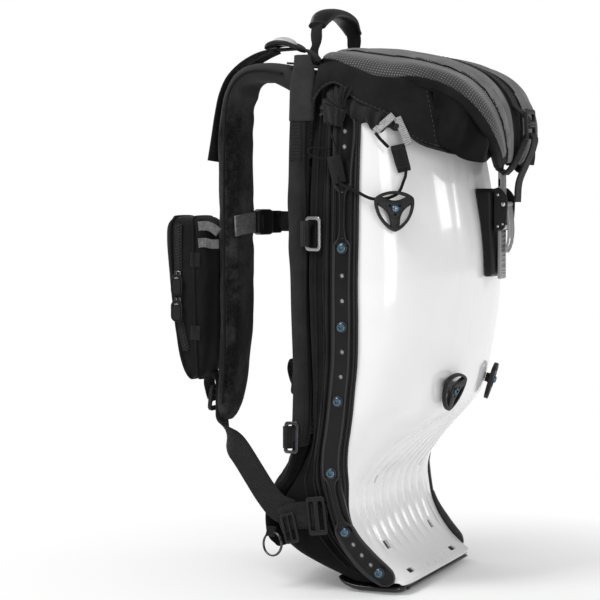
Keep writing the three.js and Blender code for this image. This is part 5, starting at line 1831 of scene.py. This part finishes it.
def make_ladder():
    """Ladder strap: rounded rails each side of a row of slanted teeth, slotted at the top."""
    back, half = -103.1, 9.0
    tooth = [(back - 2.0, 0.0), (back - 3.1, 3.6), (back - 2.95, 4.2)]
    profile = [(back, 299.6), (back - 2.2, 299.6), (back - 2.8, 300.6), (back - 3, 303), (back - 3, 311)]
    for i in reversed(range(16)):
        z = 386 - i * 4.6 - 4.6
        profile += [(y, z + dz) for y, dz in tooth]
    profile += [(back - 3, 386.5), (back - 3, 403), (back - 2.4, 404.6), (back - 0.6, 404.6), (back, 404)]
    core = plate([profile], 2 * half - 4, 0.3)
    core = Form(core.points[:, [2, 0, 1]] - np.array([half - 2, 0, 0]), core.faces)
    sides = []
    for x in (-half + 1.2, half - 1.2):
        rail = block(2.4, 3.4, 96, 0.7).moved(x, back - 1.7, 348)
        sides.append(rail)
    head = plate(
        [rounded(18, 20, 4), rounded(14, 4, 1, at=(0, 4))], 3.2, 0.7,
    ).placed((0, back, 394.5), (0, -1, 0))
    grip = [block(15, 1.2, 1.6, 0.4).moved(0, back - 3.2, 304 + 2.6 * k) for k in range(3)]
    emit(
        "ladder_strap_body", joined(core, head, *sides, *grip), GREY_PLASTIC, "closure_strap",
        "grey_plastic", ["ladder_strap"], sharp=35,
    )


def make_block():
    """Rubber wedge that carries the buckle, with rounded sides and a shallow groove."""
    rows = [
        (302, 6, 17), (303.5, 7.6, 18.6), (308, 9, 20), (318, 9.2, 20), (330, 9.6, 20), (350, 10.6, 20),
        (366, 13.2, 20), (378, 15.2, 20), (383, 15.2, 19.4), (386, 14, 17.5),
    ]
    table = np.array([[z, d, h] for z, d, h in rows], float)
    rings = []
    for z in np.linspace(302, 386, 44):
        deep = float(through(table[:, [0, 1]], z))
        half = float(through(table[:, [0, 2]], z))
        y1 = float(crown_y(z)) - 0.7
        turns = full_turn(64)
        c, s = np.cos(turns), np.sin(turns)
        x = half * bowed(c, 2 / 8)
        y = y1 - deep / 2 + deep / 2 * bowed(s, 2 / 6)
        groove = 0.7 * np.exp(-((y - (y1 - deep * 0.45)) / 0.8) ** 2) * (np.abs(c) > 0.8)
        rings.append(np.stack([x - np.sign(x) * groove, y, np.full(64, z)], axis=1))
    emit("latch_wedge", loft(rings), BLACK_RUBBER, "pack", "black_rubber", ["latch_block"], sharp=55)


def side_plate(outline, holes, thick, x, bevel=0.5):
    """Plate that stands across X, from outline points given as (Y, height)."""
    form = plate([outline] + holes, thick, bevel)
    return Form(form.points[:, [2, 0, 1]] + np.array([x, 0, 0]), form.faces)


def make_buckle():
    """Ratchet buckle: base and cheeks, rivets, lever with its pin, and the pawl."""
    outline = [
        (-101.2, 346), (-101.2, 386), (-104, 387), (-107, 386), (-110.5, 382.6), (-113.2, 378.5), (-114, 374),
        (-113.8, 366), (-113.2, 358), (-112.4, 352), (-110.6, 348), (-108.4, 346),
    ]
    parts = [block(28, 1.4, 40, 0.5).moved(0, -101.7, 366)]
    for x in (11.5, -14.0):
        parts.append(
            side_plate(outline, [circle(1.9, LEVER_PIN[1:], 16), circle(1.4, PAWL_PIN[1:], 14)], 2.5, x, 0.7)
        )
    emit("buckle_cheeks", joined(*parts), BLACK_PLASTIC, "pack", "black_plastic", ["buckle_frame"], sharp=40)
    rivets = []
    for side in (-1, 1):
        for z in (380, 350):
            pin = lathe([(1.4, -0.6), (1.4, 0.3), (1.4 * 0.7, 0.7), (0.2, 0.8)], 18)
            rivets.append(pin.placed((side * 14.1, -104.5, z), (side, 0, 0)))
    emit("buckle_rivets", joined(*rivets), SATIN_STEEL, "pack", "satin_steel", sharp=40)
    path = spline(
        [(0, -110.9, 370), (0, -113, 358), (0, -113.8, 345), (0, -112.8, 334), (0, -109.8, 325)], 40,
    )
    section = [
        (1, 0), (0.96, 0.8), (0.85, 1.0), (0.78, 0.35), (0, 0.3), (-0.78, 0.35), (-0.85, 1.0),
        (-0.96, 0.8), (-1, 0), (-0.95, -0.9), (0, -1), (0.95, -0.9),
    ]
    lever = []
    _, w, up = frames_along(path, (1, 0, 0))
    for i, at in enumerate(path):
        share = i / 39
        half = 10 - 2 * share
        if share > 0.86:
            half *= math.sqrt(max(1 - ((share - 0.86) / 0.16) ** 2, 0.05))
        comb = 0.35 * abs(math.sin(share * math.pi * 9)) if share > 0.62 else 0
        ring = []
        for a, b in section:
            lift = b * 1.3 - (comb if b > 0 else 0)
            ring.append(at + w[i] * half * a + up[i] * lift)
        lever.append(ring)
    handle = carved(loft(lever), [block(8, 20, 8, 1.5).moved(0, -113, 335)])
    hub = lathe([(1.6, -12.4), (2.5, -11.1), (2.5, 11.1), (1.6, 12.4)], 24).placed(LEVER_PIN, (1, 0, 0))
    caps = []
    for side in (-1, 1):
        cap = lathe([(1.5, -3), (1.5, 0.8), (2.1, 1.0), (2.1, 1.5), (1.6, 1.9), (0.3, 2.0)], 20)
        caps.append(cap.placed((side * 13.4, *LEVER_PIN[1:]), (side, 0, 0)))
    emit(
        "lever_plate", joined(handle, hub), GREY_PLASTIC, "lever", "grey_plastic", ["ratchet_lever"],
        sharp=45,
    )
    emit("lever_pin", joined(*caps), SATIN_STEEL, "lever", "satin_steel", sharp=40)
    hub = lathe([(1.05, -15), (1.05, -11.2), (1.8, -11.0), (1.8, 11.0), (1.05, 11.2), (1.05, 15)], 20)
    hub = hub.placed(PAWL_PIN, (1, 0, 0))
    tooth = [(-108.4, 351.5), (-110.2, 350.6), (-108.6, 348.2), (-107.2, 346.9), (-107.2, 349)]
    pawl = side_plate(tooth, [], 16, -8, 0.2)
    emit("pawl_tooth", joined(hub, pawl), SATIN_STEEL, "pawl", "satin_steel", ["ratchet_pawl"], sharp=35)


# ------------------------------------------------------------------ harness
def make_pad():
    """Padded shoulder strap: crowned outer face, piped edges, creases where it bends."""
    size = [[0, 56], [0.12, 60], [0.5, 62], [0.85, 55], [0.93, 47], [0.97, 37], [1, 22]]
    path = spline(PAD_PATH, 110)
    _, w, up = frames_along(path, (1, 0, 0))
    rings = []
    for i, at in enumerate(path):
        s = i / 109
        half = float(through(size, s)) / 2 - 1.2
        thick = (PAD_THICK / 2 - 1.0) * (
            1 if s < 0.95 else math.sqrt(max(1 - ((s - 0.95) / 0.052) ** 2, 0.03))
        )
        gusset = 1 + 1.1 * math.exp(-((s / 0.05) ** 2))
        ring = []
        for a in full_turn(56):
            c, d = math.cos(a), math.sin(a)
            x = bowed(c, 2 / 3.6)
            y = bowed(d, 2 / 2.6)
            ring.append(at + w[i] * half * x + up[i] * thick * y * (gusset if d > 0 else 1))
        rings.append(ring)
    form = inflated(loft(rings), 3.0, 5.0, 3.0, 14)
    form = creased_pad(form)
    emit_pair(
        "strap_pad_{}", form, STRAP_VELOUR, "harness", "black_fabric", ["shoulder_pad_{}"], subdivide=1,
        mirror=hung,
    )
    seams = []
    for edge in (-1, 1):
        line = []
        for i, at in enumerate(path[4:106]):
            s = (i + 4) / 109
            half = float(through(size, s)) / 2
            line.append(at + w[i + 4] * (half - 0.2) * edge + up[i + 4] * 0.4)
        seams.append(tube(line, 1.3, 8))
    seam = joined(*seams)
    emit_pair("strap_piping_{}", seam, PIPING, "harness", "black_fabric", mirror=hung)


def creased_pad(form):
    """Wrinkles on the inner face at the shoulder bend and beside the sternum strap."""
    p = form.points.copy()
    inner = smooth(136 - p[:, 1], -6, 8)
    bend = np.exp(-(((p[:, 2] - 462) / 24) ** 2))
    ripple = np.sin((p[:, 2] - p[:, 1] * 0.9) / 4.2) * 1.3
    pinch = np.exp(-(((p[:, 2] - 352) / 22) ** 2)) * np.exp(-(((p[:, 0] + 62) / 14) ** 2))
    p[:, 1] += inner * (bend * ripple * 0.9 + pinch * np.sin(p[:, 2] / 3.1) * 1.1)
    p[:, 1] += rumple(p, 26, 1.3) * 0.8
    return Form(p, form.faces, form.uv)


def harness_bands():
    """Load lifter, its sewn run on the pad and the lower webbing of the left side, with their paths."""
    lifter = spline([
        (-84, 50, 504), (-84, 55, 511), (-84, 64, 517), (-84, 85, 518), (-84, 104, 516), (-84, 118, 511),
        (-84, 131, 503), (-84.5, 141, 492), (-85, 147, 477), (-86, 150.5, 456), (-87, 154, 432),
        (-88, 157, 412),
    ], 110)
    sewn = spline([
        (-84, 94, 515.6), (-84, 104, 511.6), (-83.5, 114, 506.5), (-83.5, 122, 500.5), (-83.5, 129, 494.5),
    ], 40)
    lower = spline([
        (-84.5, 151.6, 196), (-84.8, 152, 178), (-87, 150, 161), (-92, 140, 146), (-100, 124, 131),
        (-108, 108, 114), (-115, 93, 98), (-121.5, 78, 86), (-125, 62, 81),
    ], 110)
    share = np.linspace(0, 1, 110)
    turn = np.clip(through([[0, 0], [0.2, 0.02], [0.42, 1], [1, 1]], share), 0, 1)[:, None]
    wide = (1 - turn) * np.array([[1, 0, 0]]) + turn * np.array([[0.1, 0.62, -0.78]])
    return lifter, sewn, lower, wide


def make_lifter_buckle():
    """Black frame with two slots and a pale domed cover over its lower half."""
    at = np.array([-84, 85, 521.5])
    out = unit(np.array([0, -0.10, 1]))
    along = unit(np.array([0, 1, 0.10]))
    turns = full_turn(48)
    lozenge = [(bowed(math.cos(a), 0.55) * 16, bowed(math.sin(a), 0.9) * 19) for a in turns]
    slots = [rounded(20, 6, 1.5, at=(0, y)) for y in (-9, 9)]
    buckle = plate([lozenge] + slots, 4.4, 1.3)
    buckle = bent(buckle, 1, -LIFTER_BEND).placed(at, out, along)
    emit_pair(
        "lifter_lock_{}", buckle, BLACK_PLASTIC, "harness", "black_plastic", ["lifter_buckle_{}"],
        sharp=40, mirror=hung,
    )
    dome = []
    for t in np.linspace(0, 1, 9):
        r = max(math.cos(t * math.pi / 2), 0.02)
        rise = 3.4 + 4.8 * math.sin(t * math.pi / 2)
        dome.append([(14.2 * r * math.cos(a), 13.0 * r * math.sin(a) + 2, rise) for a in turns])
    cover = bent(loft(dome), 1, -LIFTER_BEND).placed(at, out, along)
    emit_pair("lifter_cap_{}", cover, LIGHT_PLASTIC, "harness", "grey_plastic", mirror=hung)


def make_harness():
    """Webbing, locks, keeper and yoke of a shoulder strap."""
    lifter, sewn, lower, wide = harness_bands()
    turn = smooth(np.linspace(0, 1, 110), 0.45, 0.8)[:, None]
    lifter_wide = (1 - turn) * np.array([[1, 0, 0]]) + turn * np.array([[0.93, -0.36, 0]])
    emit_blend_pair(
        "lifter_tape_{}", ribbon(lifter, lifter_wide, WEB_NARROW, WEB_THICK), BLACK_WEB,
        ("pack", "harness"), (-84, 52, 505), (-84, 76, 517), "grey_webbing", ["load_lifter_{}"],
    )
    emit_pair(
        "lifter_anchor_{}", ribbon(sewn, (1, 0, 0), WEB_NARROW, WEB_THICK), BLACK_WEB, "harness",
        "black_webbing", mirror=hung,
    )
    emit_blend_pair(
        "lower_tape_{}", ribbon(lower, wide, WEB_WIDE + 1.5, WEB_THICK), BLACK_WEB, ("pack", "harness"),
        (-121, 70, 84), (-90, 148, 150), "black_webbing", ["lower_webbing_{}"],
    )
    make_lifter_buckle()
    lock = plate(
        [rounded(32, 26, 5), rounded(26, 5, 1.5, at=(0, -6)), rounded(26, 6, 1.5, at=(0, 5))], 3.6, 1.0,
    )
    lock = bent(lock, 0, 0.0072).placed((-84.5, 154.0, 184), (0, 0.99, 0.1), (0, -0.1, 0.99))
    emit_pair(
        "strap_lock_plate_{}", lock, BLACK_PLASTIC, "harness", "black_plastic", ["strap_lock_{}"],
        sharp=40, mirror=hung,
    )
    curl = spline([
        (-85, 151.8, 197), (-85, 155, 206), (-85, 162, 208), (-85, 165, 200), (-85, 163, 189),
        (-85.5, 160.5, 182),
    ], 40)
    emit_pair(
        "strap_keeper_{}", ribbon(curl, (1, 0, 0), 24, 1.6), BLACK_WEB, "harness", "black_webbing",
        mirror=hung,
    )
    yoke = []
    for t in np.linspace(0, 1, 10):
        rise = 498.6 + 4.6 * math.sin(t * 1.3)
        yoke.append(
            [(-84 + u * (30 - 2 * t), 46 + 26 * t, rise - 1.0 * abs(u)) for u in np.linspace(-1, 1, 15)]
        )
    emit_blend_pair(
        "strap_yoke_{}", sheet(np.array(yoke), 2.0), PANEL_FABRIC, ("pack", "harness"), (-84, 52, 503),
        (-84, 72, 505), "grey_fabric",
    )


def buckle_place(form, along):
    """Puts a sternum buckle half in place, moved along the strap."""
    axis = unit((-1, 0.22, 0))
    y = np.cross((0, 0, 1), axis)
    origin = np.array([-34, 121.4, STERNUM_Z + 1.5]) + axis * along
    turn = np.stack([axis, y, np.array([0, 0, 1.0])])
    return Form(form.points @ turn + origin, form.faces, form.uv)


def make_sternum():
    """Sternum strap: elastic on the left, webbing on the right and the side-release buckle."""
    left = spline([(-104, 128.6, 350), (-84, 127.8, 352), (-70, 127.0, 353), (-61.5, 126.6, 353)], 40)
    emit(
        "sternum_elastic", ribbon(left, (0, 0, 1), WEB_NARROW, 2.0), ELASTIC_WEB, "harness",
        "grey_webbing", ["sternum_band_left"],
    )
    right = spline([(112, 117, 350), (84, 117, 352), (40, 117.4, 353), (-16, 117.8, 354)], 60)
    emit_blend(
        "sternum_tape", ribbon(right, (0, 0, 1), WEB_NARROW, WEB_THICK), BLACK_WEB,
        ("harness", "sternum_plug"), (100, 117, 352), (10, 117, 353), "black_webbing",
        ["sternum_web_right"],
    )
    profile = [
        (0, -11.2), (4, -12.5), (18, -12.5), (23, -10.5), (24, -8), (24, 8), (23, 10.5), (18, 12.5),
        (4, 12.5), (0, 11.2),
    ]
    housing = plate([[(x, z) for x, z in profile]], 9, 1.6).moved(0, 0, -4.5)
    housing = Form(housing.points[:, [0, 2, 1]] * np.array([1, -1, 1]), housing.faces)
    cutters = [block(22, 5.4, 19.4, 0.6).moved(9, 0, 0), block(9, 5.4, 30, 1.4).moved(11, 0, 0)]
    ribs = [block(1.2, 1.0, 14, 0.4).moved(17 + 2.4 * k, 4.5, 0) for k in range(2)]
    female = joined(carved(housing, cutters), *ribs)
    emit(
        "sternum_socket", buckle_place(female, 2), BLACK_PLASTIC, "harness", "black_plastic",
        ["sternum_female"], sharp=40,
    )
    root = plate([rounded(15, 22, 2.5), rounded(4, 17, 1.2, at=(-2.2, 0))], 7, 1.2).moved(0, 0, -3.5)
    root = Form(root.points[:, [0, 2, 1]] * np.array([1, -1, 1]) + np.array([-8, 0, 0]), root.faces)
    prongs = []
    for s in (-1, 1):
        line = [
            (-2, s * 8.6), (9, s * 9.2), (13.5, s * 8.2), (17, s * 6), (17, s * 4.7), (9, s * 6.4),
            (-2, s * 5.2),
        ]
        prong = plate([line], 4.4, 0.6).moved(0, 0, -2.2)
        prongs.append(Form(prong.points[:, [0, 2, 1]] * np.array([1, -1, 1]), prong.faces))
    guide = block(17, 4.4, 3, 0.8).moved(5, 0, 0)
    grips = [block(1.2, 1.0, 12, 0.4).moved(-13.2 + 2.2 * k, 3.6, 0) for k in range(2)]
    male = joined(root, guide, *prongs, *grips)
    emit(
        "sternum_plug_body", buckle_place(male, 0.4), BLACK_PLASTIC, "sternum_plug", "black_plastic",
        ["sternum_male"], sharp=40,
    )


# ------------------------------------------------------------------ pouch
# Height, half width, front and back.
POUCH_ROWS = np.array([
    [203, 17, 163, 174], [205, 20, 160, 176], [208, 22, 158, 178.5], [222, 26, 154, 184.5],
    [245, 27.5, 152.5, 189.5],
    [300, 28, 151, 196.5], [343, 28, 151, 199.5], [350, 27.4, 152, 199], [354, 26, 154, 198],
    [359, 21, 159, 193],
], float)


def pouch_section(z):
    """Half width, front and back of the pouch."""
    return [float(through(POUCH_ROWS[:, [0, k]], z)) for k in (1, 2, 3)]


def pouch_ring(z, grow, count=72):
    """The pouch's section as a ring, grown outwards."""
    half, y0, y1 = pouch_section(z)
    turns = full_turn(count)
    c, s = np.cos(turns), np.sin(turns)
    x = POUCH_X + bowed(c, 2 / 5) * (half + grow)
    y = (y0 + y1) / 2 + bowed(s, 2 / 4.5) * ((y1 - y0) / 2 + grow)
    return np.stack([x, y, np.full(count, float(z))], axis=1)


def make_pouch():
    """Zip pouch: soft block, piping round both faces, a zip ridge and webbing at its back."""
    heights = np.concatenate([np.linspace(203, 210, 5), np.linspace(216, 346, 34), np.linspace(350, 359, 6)])
    form = inflated(loft([pouch_ring(z, -1.2) for z in heights]), 2.5, 4.5, 2.5, 12)
    emit("pouch_body", form, POUCH_FABRIC, "harness", "black_fabric", ["pouch"], subdivide=1)
    cords = []
    for share, radius in ((0.30, 1.2), (0.80, 1.4)):
        loop = []
        for z in np.linspace(206, 356, 60):
            half, y0, y1 = pouch_section(z)
            loop.append((POUCH_X - half + 0.1, y0 + (y1 - y0) * share, z))
        back = [(2 * POUCH_X - x, y, z) for x, y, z in loop]
        arc = np.linspace(0, math.pi, 14)[1:-1]
        over = [(POUCH_X + 21 * math.cos(a), loop[-1][1], 358.4 + 0.8 * math.sin(a)) for a in arc[::-1]]
        under = [(POUCH_X + 17 * math.cos(a), loop[0][1], 204.0 - 0.8 * math.sin(a)) for a in arc]
        path = np.vstack([loop, over, back[::-1], under])
        cords.append(closed_tube(path, radius, 8))
    emit("pouch_piping", joined(*cords), PIPING, "harness", "black_fabric")
    tape, teeth = [], []
    for z in np.linspace(231, 352, 60):
        half = pouch_section(z)[0]
        inward = 0.03 * max(280 - z, 0) + 0.2 * max(262 - z, 0)
        tape.append((POUCH_X - half - 0.35, ZIP_Y - inward, z))
    tape = np.array(tape)
    emit("pouch_zip_tape", ribbon(tape, (0, 1, 0), 8, 0.9), RIBBED_WEB, "harness", "black_webbing")
    fine = resampled(tape, 84)
    for k, at in enumerate(fine):
        teeth.append(
            block(0.8, 2.2, 0.9, 0.25, 1).moved(at[0] - 0.6, at[1] + (0.5 if k % 2 else -0.5), at[2])
        )
    emit("pouch_zip_teeth", joined(*teeth), BLACK_PLASTIC, "harness", "black_plastic")
    seam = []
    for z in (248, 318):
        path = [(POUCH_X - 26.0 - 1.9, y, z + 0.04 * (y - 160)) for y in np.linspace(158.5, 168, 12)]
        seam.append(ribbon(np.array(path), (0, 0, 1), 14, 1.2))
    emit("pouch_side_tape", joined(*seam), BLACK_WEB, "harness", "black_webbing")
    loops = []
    for z, tilt in ((350, 6), (334, 1)):
        path = spline(
            [(-111, 143, z - tilt), (-114.5, 149, z - 1), (-118, 154, z + 0.5), (-120.6, 160, z)], 20,
        )
        loops.append(ribbon(path, (0, 0.25, 1), 9, 1.5))
    emit("pouch_loops", joined(*loops), ELASTIC_WEB, "harness", "grey_webbing")
    for z, name in ((303, "upper"), (278, "lower")):
        x = POUCH_X - POUCH_HALF - 1.7
        body = block(2.4, 7, 9, 0.9).moved(x, ZIP_Y, z)
        arch = [(x - out, ZIP_Y, z + up) for out, up in ((0.9, 3.4), (2.4, 2.2), (2.6, -1), (0.9, -2.6))]
        bridge = tube(spline(arch, 16), 0.7, 8)
        emit(
            f"zip_{name}_slider", joined(body, bridge), BLACK_STEEL, f"slider_{name}", "satin_steel",
            [f"zip_slider_{name}"], sharp=45,
        )
        seat = (POUCH_X - POUCH_HALF - 3.4, ZIP_Y, z - 9)
        pull = plate([rounded(12, 21, 5.8, 8), rounded(3, 2.4, 0.8, at=(0, 7))], 1.8, 0.5)
        bars = [block(5, 0.7, 0.6, 0.2, 1).moved(0, y, 1.3) for y in (-5.4, -2.6, 0.2)]
        emit(
            f"zip_{name}_pull", joined(pull, *bars).placed(seat, (-1, 0, 0)), BLACK_RUBBER,
            f"pull_{name}", "black_rubber", [f"zip_pull_{name}"], sharp=40,
        )
        rim = plate(
            [rounded(10, 17, 4.8, 8, at=(0, -1.4)), rounded(8.2, 15.2, 3.9, 8, at=(0, -1.4))], 0.6,
            0.15,
        )
        emit(
            f"zip_{name}_rim", rim.moved(0, 0, 1.2).placed(seat, (-1, 0, 0)), GREY_PLASTIC,
            f"pull_{name}", "grey_plastic", sharp=40,
        )


# ------------------------------------------------------------------ handle, rings and side straps
def make_handle():
    """Haul handle: a webbing loop that narrows beside its rubber grip."""
    y = HANDLE_Y
    legs = [
        (-57, y - 1, 503), (-57.4, y + 1.5, 513), (-56, y - 1.5, 526), (-52, y, 537), (-48, y, 544),
        (-30, y, 553),
        (0, y, 556), (30, y, 553), (48, y, 544), (52, y, 537), (56, y + 1.5, 526), (57.4, y - 1.5, 513),
        (57, y - 1, 503),
    ]
    path = spline(legs, 120)
    twist = np.sin(np.linspace(0, 2 * math.pi, 120)) * 0.5
    wide = np.stack([twist, np.ones(120), np.zeros(120)], axis=1)
    share = np.abs(np.linspace(-1, 1, 120))
    width = 14 - 5.0 * np.exp(-(((share - 0.80) / 0.07) ** 2))
    emit(
        "handle_tape", ribbon(path, wide, width, WEB_THICK), BLACK_WEB, "handle", "black_webbing",
        ["handle_webbing"],
    )
    arc = spline([(-50, y, 542), (-30, y, 553), (0, y, 556.5), (30, y, 553), (50, y, 542)], 60)
    along, w, _ = frames_along(arc, (0, 1, 0))
    rings = []
    for i, at in enumerate(arc):
        s = abs(i / 59 - 0.5) * 2
        end = 1 - 0.22 * float(smooth(s, 0.6, 1.0))
        ring = []
        for a in full_turn(36):
            c, d = math.cos(a), math.sin(a)
            deep = 11.5 * bowed(c, 0.8)
            high = (6.0 if d > 0 else 4.4) * d
            ring.append(at + w[i] * deep * end + unit(np.array([-along[i][2], 0, along[i][0]])) * high * end)
        rings.append(ring)
    emit("handle_sleeve", loft(rings), BLACK_RUBBER, "handle", "black_rubber", ["handle_grip"], sharp=60)


def make_rings():
    """Flat ring on its loop beside the rail, and the double wire ring near the waist."""
    slant = (-0.93, 0.37, 0)
    centre = np.array([-136.8, 35, 344.0])
    ring = plate([rounded(19, 32, 4), rounded(13, 26, 2.6)], 2.4, 0.7).placed(centre, slant)
    emit_pair("flat_ring_{}", ring, SATIN_STEEL, "ring_{}", "satin_steel", ["side_ring_{}"], sharp=40)
    out = unit(slant)
    side_dir = unit(np.cross((0, 0, 1), out))
    bar = centre + out * 1.2 - side_dir * 8.0
    toward = unit(bar - centre - out * 1.2)
    loop = spline([
        bar + toward * 10 - out * 2.2, bar + toward * 5 + out * 1.2, bar + out * 2.7,
        bar - toward * 2.9 + out * 0.2,
        bar - out * 2.6, bar + toward * 4 - out * 2.6,
    ], 40)
    emit_pair("ring_loop_{}", ribbon(loop, (0, 0, 1), 24, 1.3), RIBBED_WEB, "pack", "black_webbing")
    at = np.array([-119.5, 84, 50])
    normal = unit((-0.94, 0.3, 0.1))
    u = unit(np.cross((0, 0, 1), normal))
    v = np.cross(normal, u)
    wire = []
    for layer, shift in ((0, -0.55), (1, 0.55)):
        wire.append(closed_tube(ring_path(at + normal * shift, u, v, 11.2 - 0.2 * layer, 64), 0.85, 8))
    emit_pair("wire_ring_{}", joined(*wire), BLACK_STEEL, "split_{}", "black_steel", ["split_ring_{}"])


def make_side_straps():
    """Waist tape with its tri-glide and keeper, ring hanger and the lower ring's loop."""
    x = -125.0
    tape = spline(
        [
            (x + 3, 76, 72), (x - 0.6, 68, 76), (x - 1.4, 58, 79), (x - 1.6, 46, 80), (x - 0.4, 36, 80),
            (x + 2, 27, 79),
        ],
        60,
    )
    emit_pair("waist_tape_{}", ribbon(tape, (0, 0.12, 1), 24, 1.7), RIBBED_WEB, "pack", "black_webbing")
    second = spline([(x - 2.4, 68, 77), (x - 3.2, 60, 80), (x - 3.0, 48, 82), (x - 1.8, 36, 82)], 30)
    emit_pair(
        "waist_tape_tail_{}", ribbon(second, (0, 0.12, 1), 23, 1.5), RIBBED_WEB, "pack",
        "black_webbing",
    )
    glide = plate(
        [rounded(19, 36, 3), rounded(4.6, 27, 1.5, at=(-4.6, 0)), rounded(4.6, 27, 1.5, at=(4.6, 0))],
        2.6, 0.8,
    )
    glide = glide.placed((x - 3.2, 35, 81), (-1, 0.04, 0.0), (0, 0.12, 1))
    emit_pair("waist_glide_{}", glide, BLACK_PLASTIC, "pack", "black_plastic", sharp=40)
    keeper = plate(
        [rounded(15, 29, 3), rounded(4, 23, 1.4, at=(-3, 0)), rounded(4, 23, 1.2, at=(3, 0))], 2.4, 0.7,
    )
    keeper = keeper.placed((x - 3.6, 62, 68), (-1, 0.1, 0.0), (0, 0.25, 1))
    emit_pair("waist_keeper_{}", keeper, BLACK_PLASTIC, "pack", "black_plastic", sharp=40)
    hanger = spline(
        [(-116, 86, 66), (-119, 86, 61.5), (-120.6, 86, 59), (-118.4, 86.5, 57.6), (-115.6, 86, 62)],
        24,
    )
    emit_pair("ring_hanger_{}", ribbon(hanger, (0, 1, 0), 9, 1.2), BLACK_WEB, "pack", "black_webbing")
    small = plate(
        [rounded(15, 30, 3.4), rounded(9, 24, 2.4)], 2.2, 0.7,
    ).placed((-127.2, 61, 153), (-1, 0.1, 0.06))
    emit_pair("low_ring_{}", small, BLACK_STEEL, "pack", "black_steel", sharp=40)
    wrap = spline(
        [
            (-124, 58, 153), (-127, 62.4, 153), (-129.2, 65.8, 153), (-127, 69.6, 153),
            (-124, 66.5, 153), (-122.5, 60, 153),
        ],
        30,
    )
    emit_pair("low_ring_loop_{}", ribbon(wrap, (0, 0, 1), 21, 1.3), RIBBED_WEB, "pack", "black_webbing")


# ------------------------------------------------------------------ stage, light and camera
def paint_kept_nodes():
    """The CAD node that stays visible gets a procedural material."""
    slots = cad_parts["back_frame"].data.materials
    slots.clear()
    slots.append(BLACK_PLASTIC)


def area_light(name, place, target, size, power):
    """Rectangular light that looks at a point."""
    light = bpy.data.lights.new(name, "AREA")
    light.shape = "RECTANGLE"
    light.size, light.size_y = size
    light.energy = power
    obj = bpy.data.objects.new(name, light)
    obj.location = place
    obj.rotation_euler = (Vector(target) - Vector(place)).to_track_quat("-Z", "Y").to_euler()
    bpy.context.scene.collection.objects.link(obj)


def make_stage():
    """Pale floor that fades into a white background, and a soft studio light."""
    floor = bpy.data.meshes.new("floor")
    size = 12.0
    corners = [(-size, -size, 0), (size, -size, 0), (size, size, 0), (-size, size, 0)]
    floor.from_pydata(corners, [], [(0, 1, 2, 3)])
    floor.materials.append(floor_material())
    obj = bpy.data.objects.new("floor", floor)
    obj.location = (0, 0, -0.0005)
    bpy.context.scene.collection.objects.link(obj)
    world = bpy.data.worlds.new("studio")
    world.use_nodes = True
    tree = world.node_tree
    seen = tree.nodes.new("ShaderNodeLightPath").outputs["Is Camera Ray"]
    strength = tree.nodes.new("ShaderNodeMapRange")
    strength.inputs["To Min"].default_value = 0.34
    strength.inputs["To Max"].default_value = 1.0
    tree.links.new(seen, strength.inputs["Value"])
    tree.nodes["Background"].inputs[0].default_value = (1.0, 1.0, 1.0, 1)
    tree.links.new(strength.outputs[0], tree.nodes["Background"].inputs[1])
    bpy.context.scene.world = world
    middle = (0, 0, 0.28)
    area_light("key", (-1.2, 0.7, 1.9), middle, (0.7, 0.9), 30)
    area_light("face", (-1.6, -1.2, 0.6), middle, (0.6, 1.2), 9)
    area_light("rim", (0.9, -1.6, 1.1), middle, (0.5, 1.0), 7)
    area_light("back", (1.2, 1.6, 1.2), middle, (1.0, 1.2), 10)
    bpy.context.scene.view_settings.view_transform = "Standard"
    bpy.context.scene.view_settings.look = "None"


def floor_material():
    """Pale grey that turns into plain white away from the pack."""
    n = Nodes("pale_floor", 0.7)
    split = n.add("ShaderNodeSeparateXYZ", Vector=n.place())
    squares = n.math("ADD", n.math("POWER", split.outputs[0], 2.0), n.math("POWER", split.outputs[1], 2.0))
    away = n.fit(n.math("SQRT", squares), 0.06, 0.42, 0.1, 1.0)
    glow = n.add("ShaderNodeEmission")
    blend = n.tree.nodes.new("ShaderNodeMixShader")
    n.put(blend, "0", away)
    n.put(blend, "1", n.shader.outputs[0])
    n.put(blend, "2", glow.outputs[0])
    n.tree.links.new(blend.outputs[0], n.tree.nodes["Material Output"].inputs["Surface"])
    return n.done(n.mix(n.noise(2.0, 2), grey(0.92), grey(0.96)), 0.7)


def make_camera():
    """The photo's view."""
    camera = bpy.data.cameras.new("photo_view")
    camera.lens = VIEW_LENS
    camera.sensor_width = 36
    camera.clip_end = 60
    obj = bpy.data.objects.new("photo_view", camera)
    azimuth, elevation = math.radians(VIEW_AZIMUTH), math.radians(VIEW_ELEVATION)
    back = Vector((
        math.sin(azimuth) * math.cos(elevation), -math.cos(azimuth) * math.cos(elevation),
        math.sin(elevation),
    ))
    obj.location = Vector(VIEW_TARGET) + back * VIEW_DISTANCE
    obj.rotation_euler = back.to_track_quat("Z", "Y").to_euler()
    bpy.context.scene.collection.objects.link(obj)
    bpy.context.scene.camera = obj


def main():
    paint_kept_nodes()
    make_shell()
    make_slot_inserts()
    make_shell_liner()
    make_foot()
    make_body()
    make_back()
    make_collar()
    make_lid()
    make_closure()
    make_hooks()
    make_cords()
    make_sternum()
    make_pouch()
    make_handle()
    make_rail()
    make_binding()
    make_gasket()
    make_body_piping()
    make_panel_edge()
    make_fan()
    make_ruffle()
    make_flap()
    make_pad()
    make_harness()
    make_rings()
    make_side_straps()
    make_stage()
    make_camera()


main()
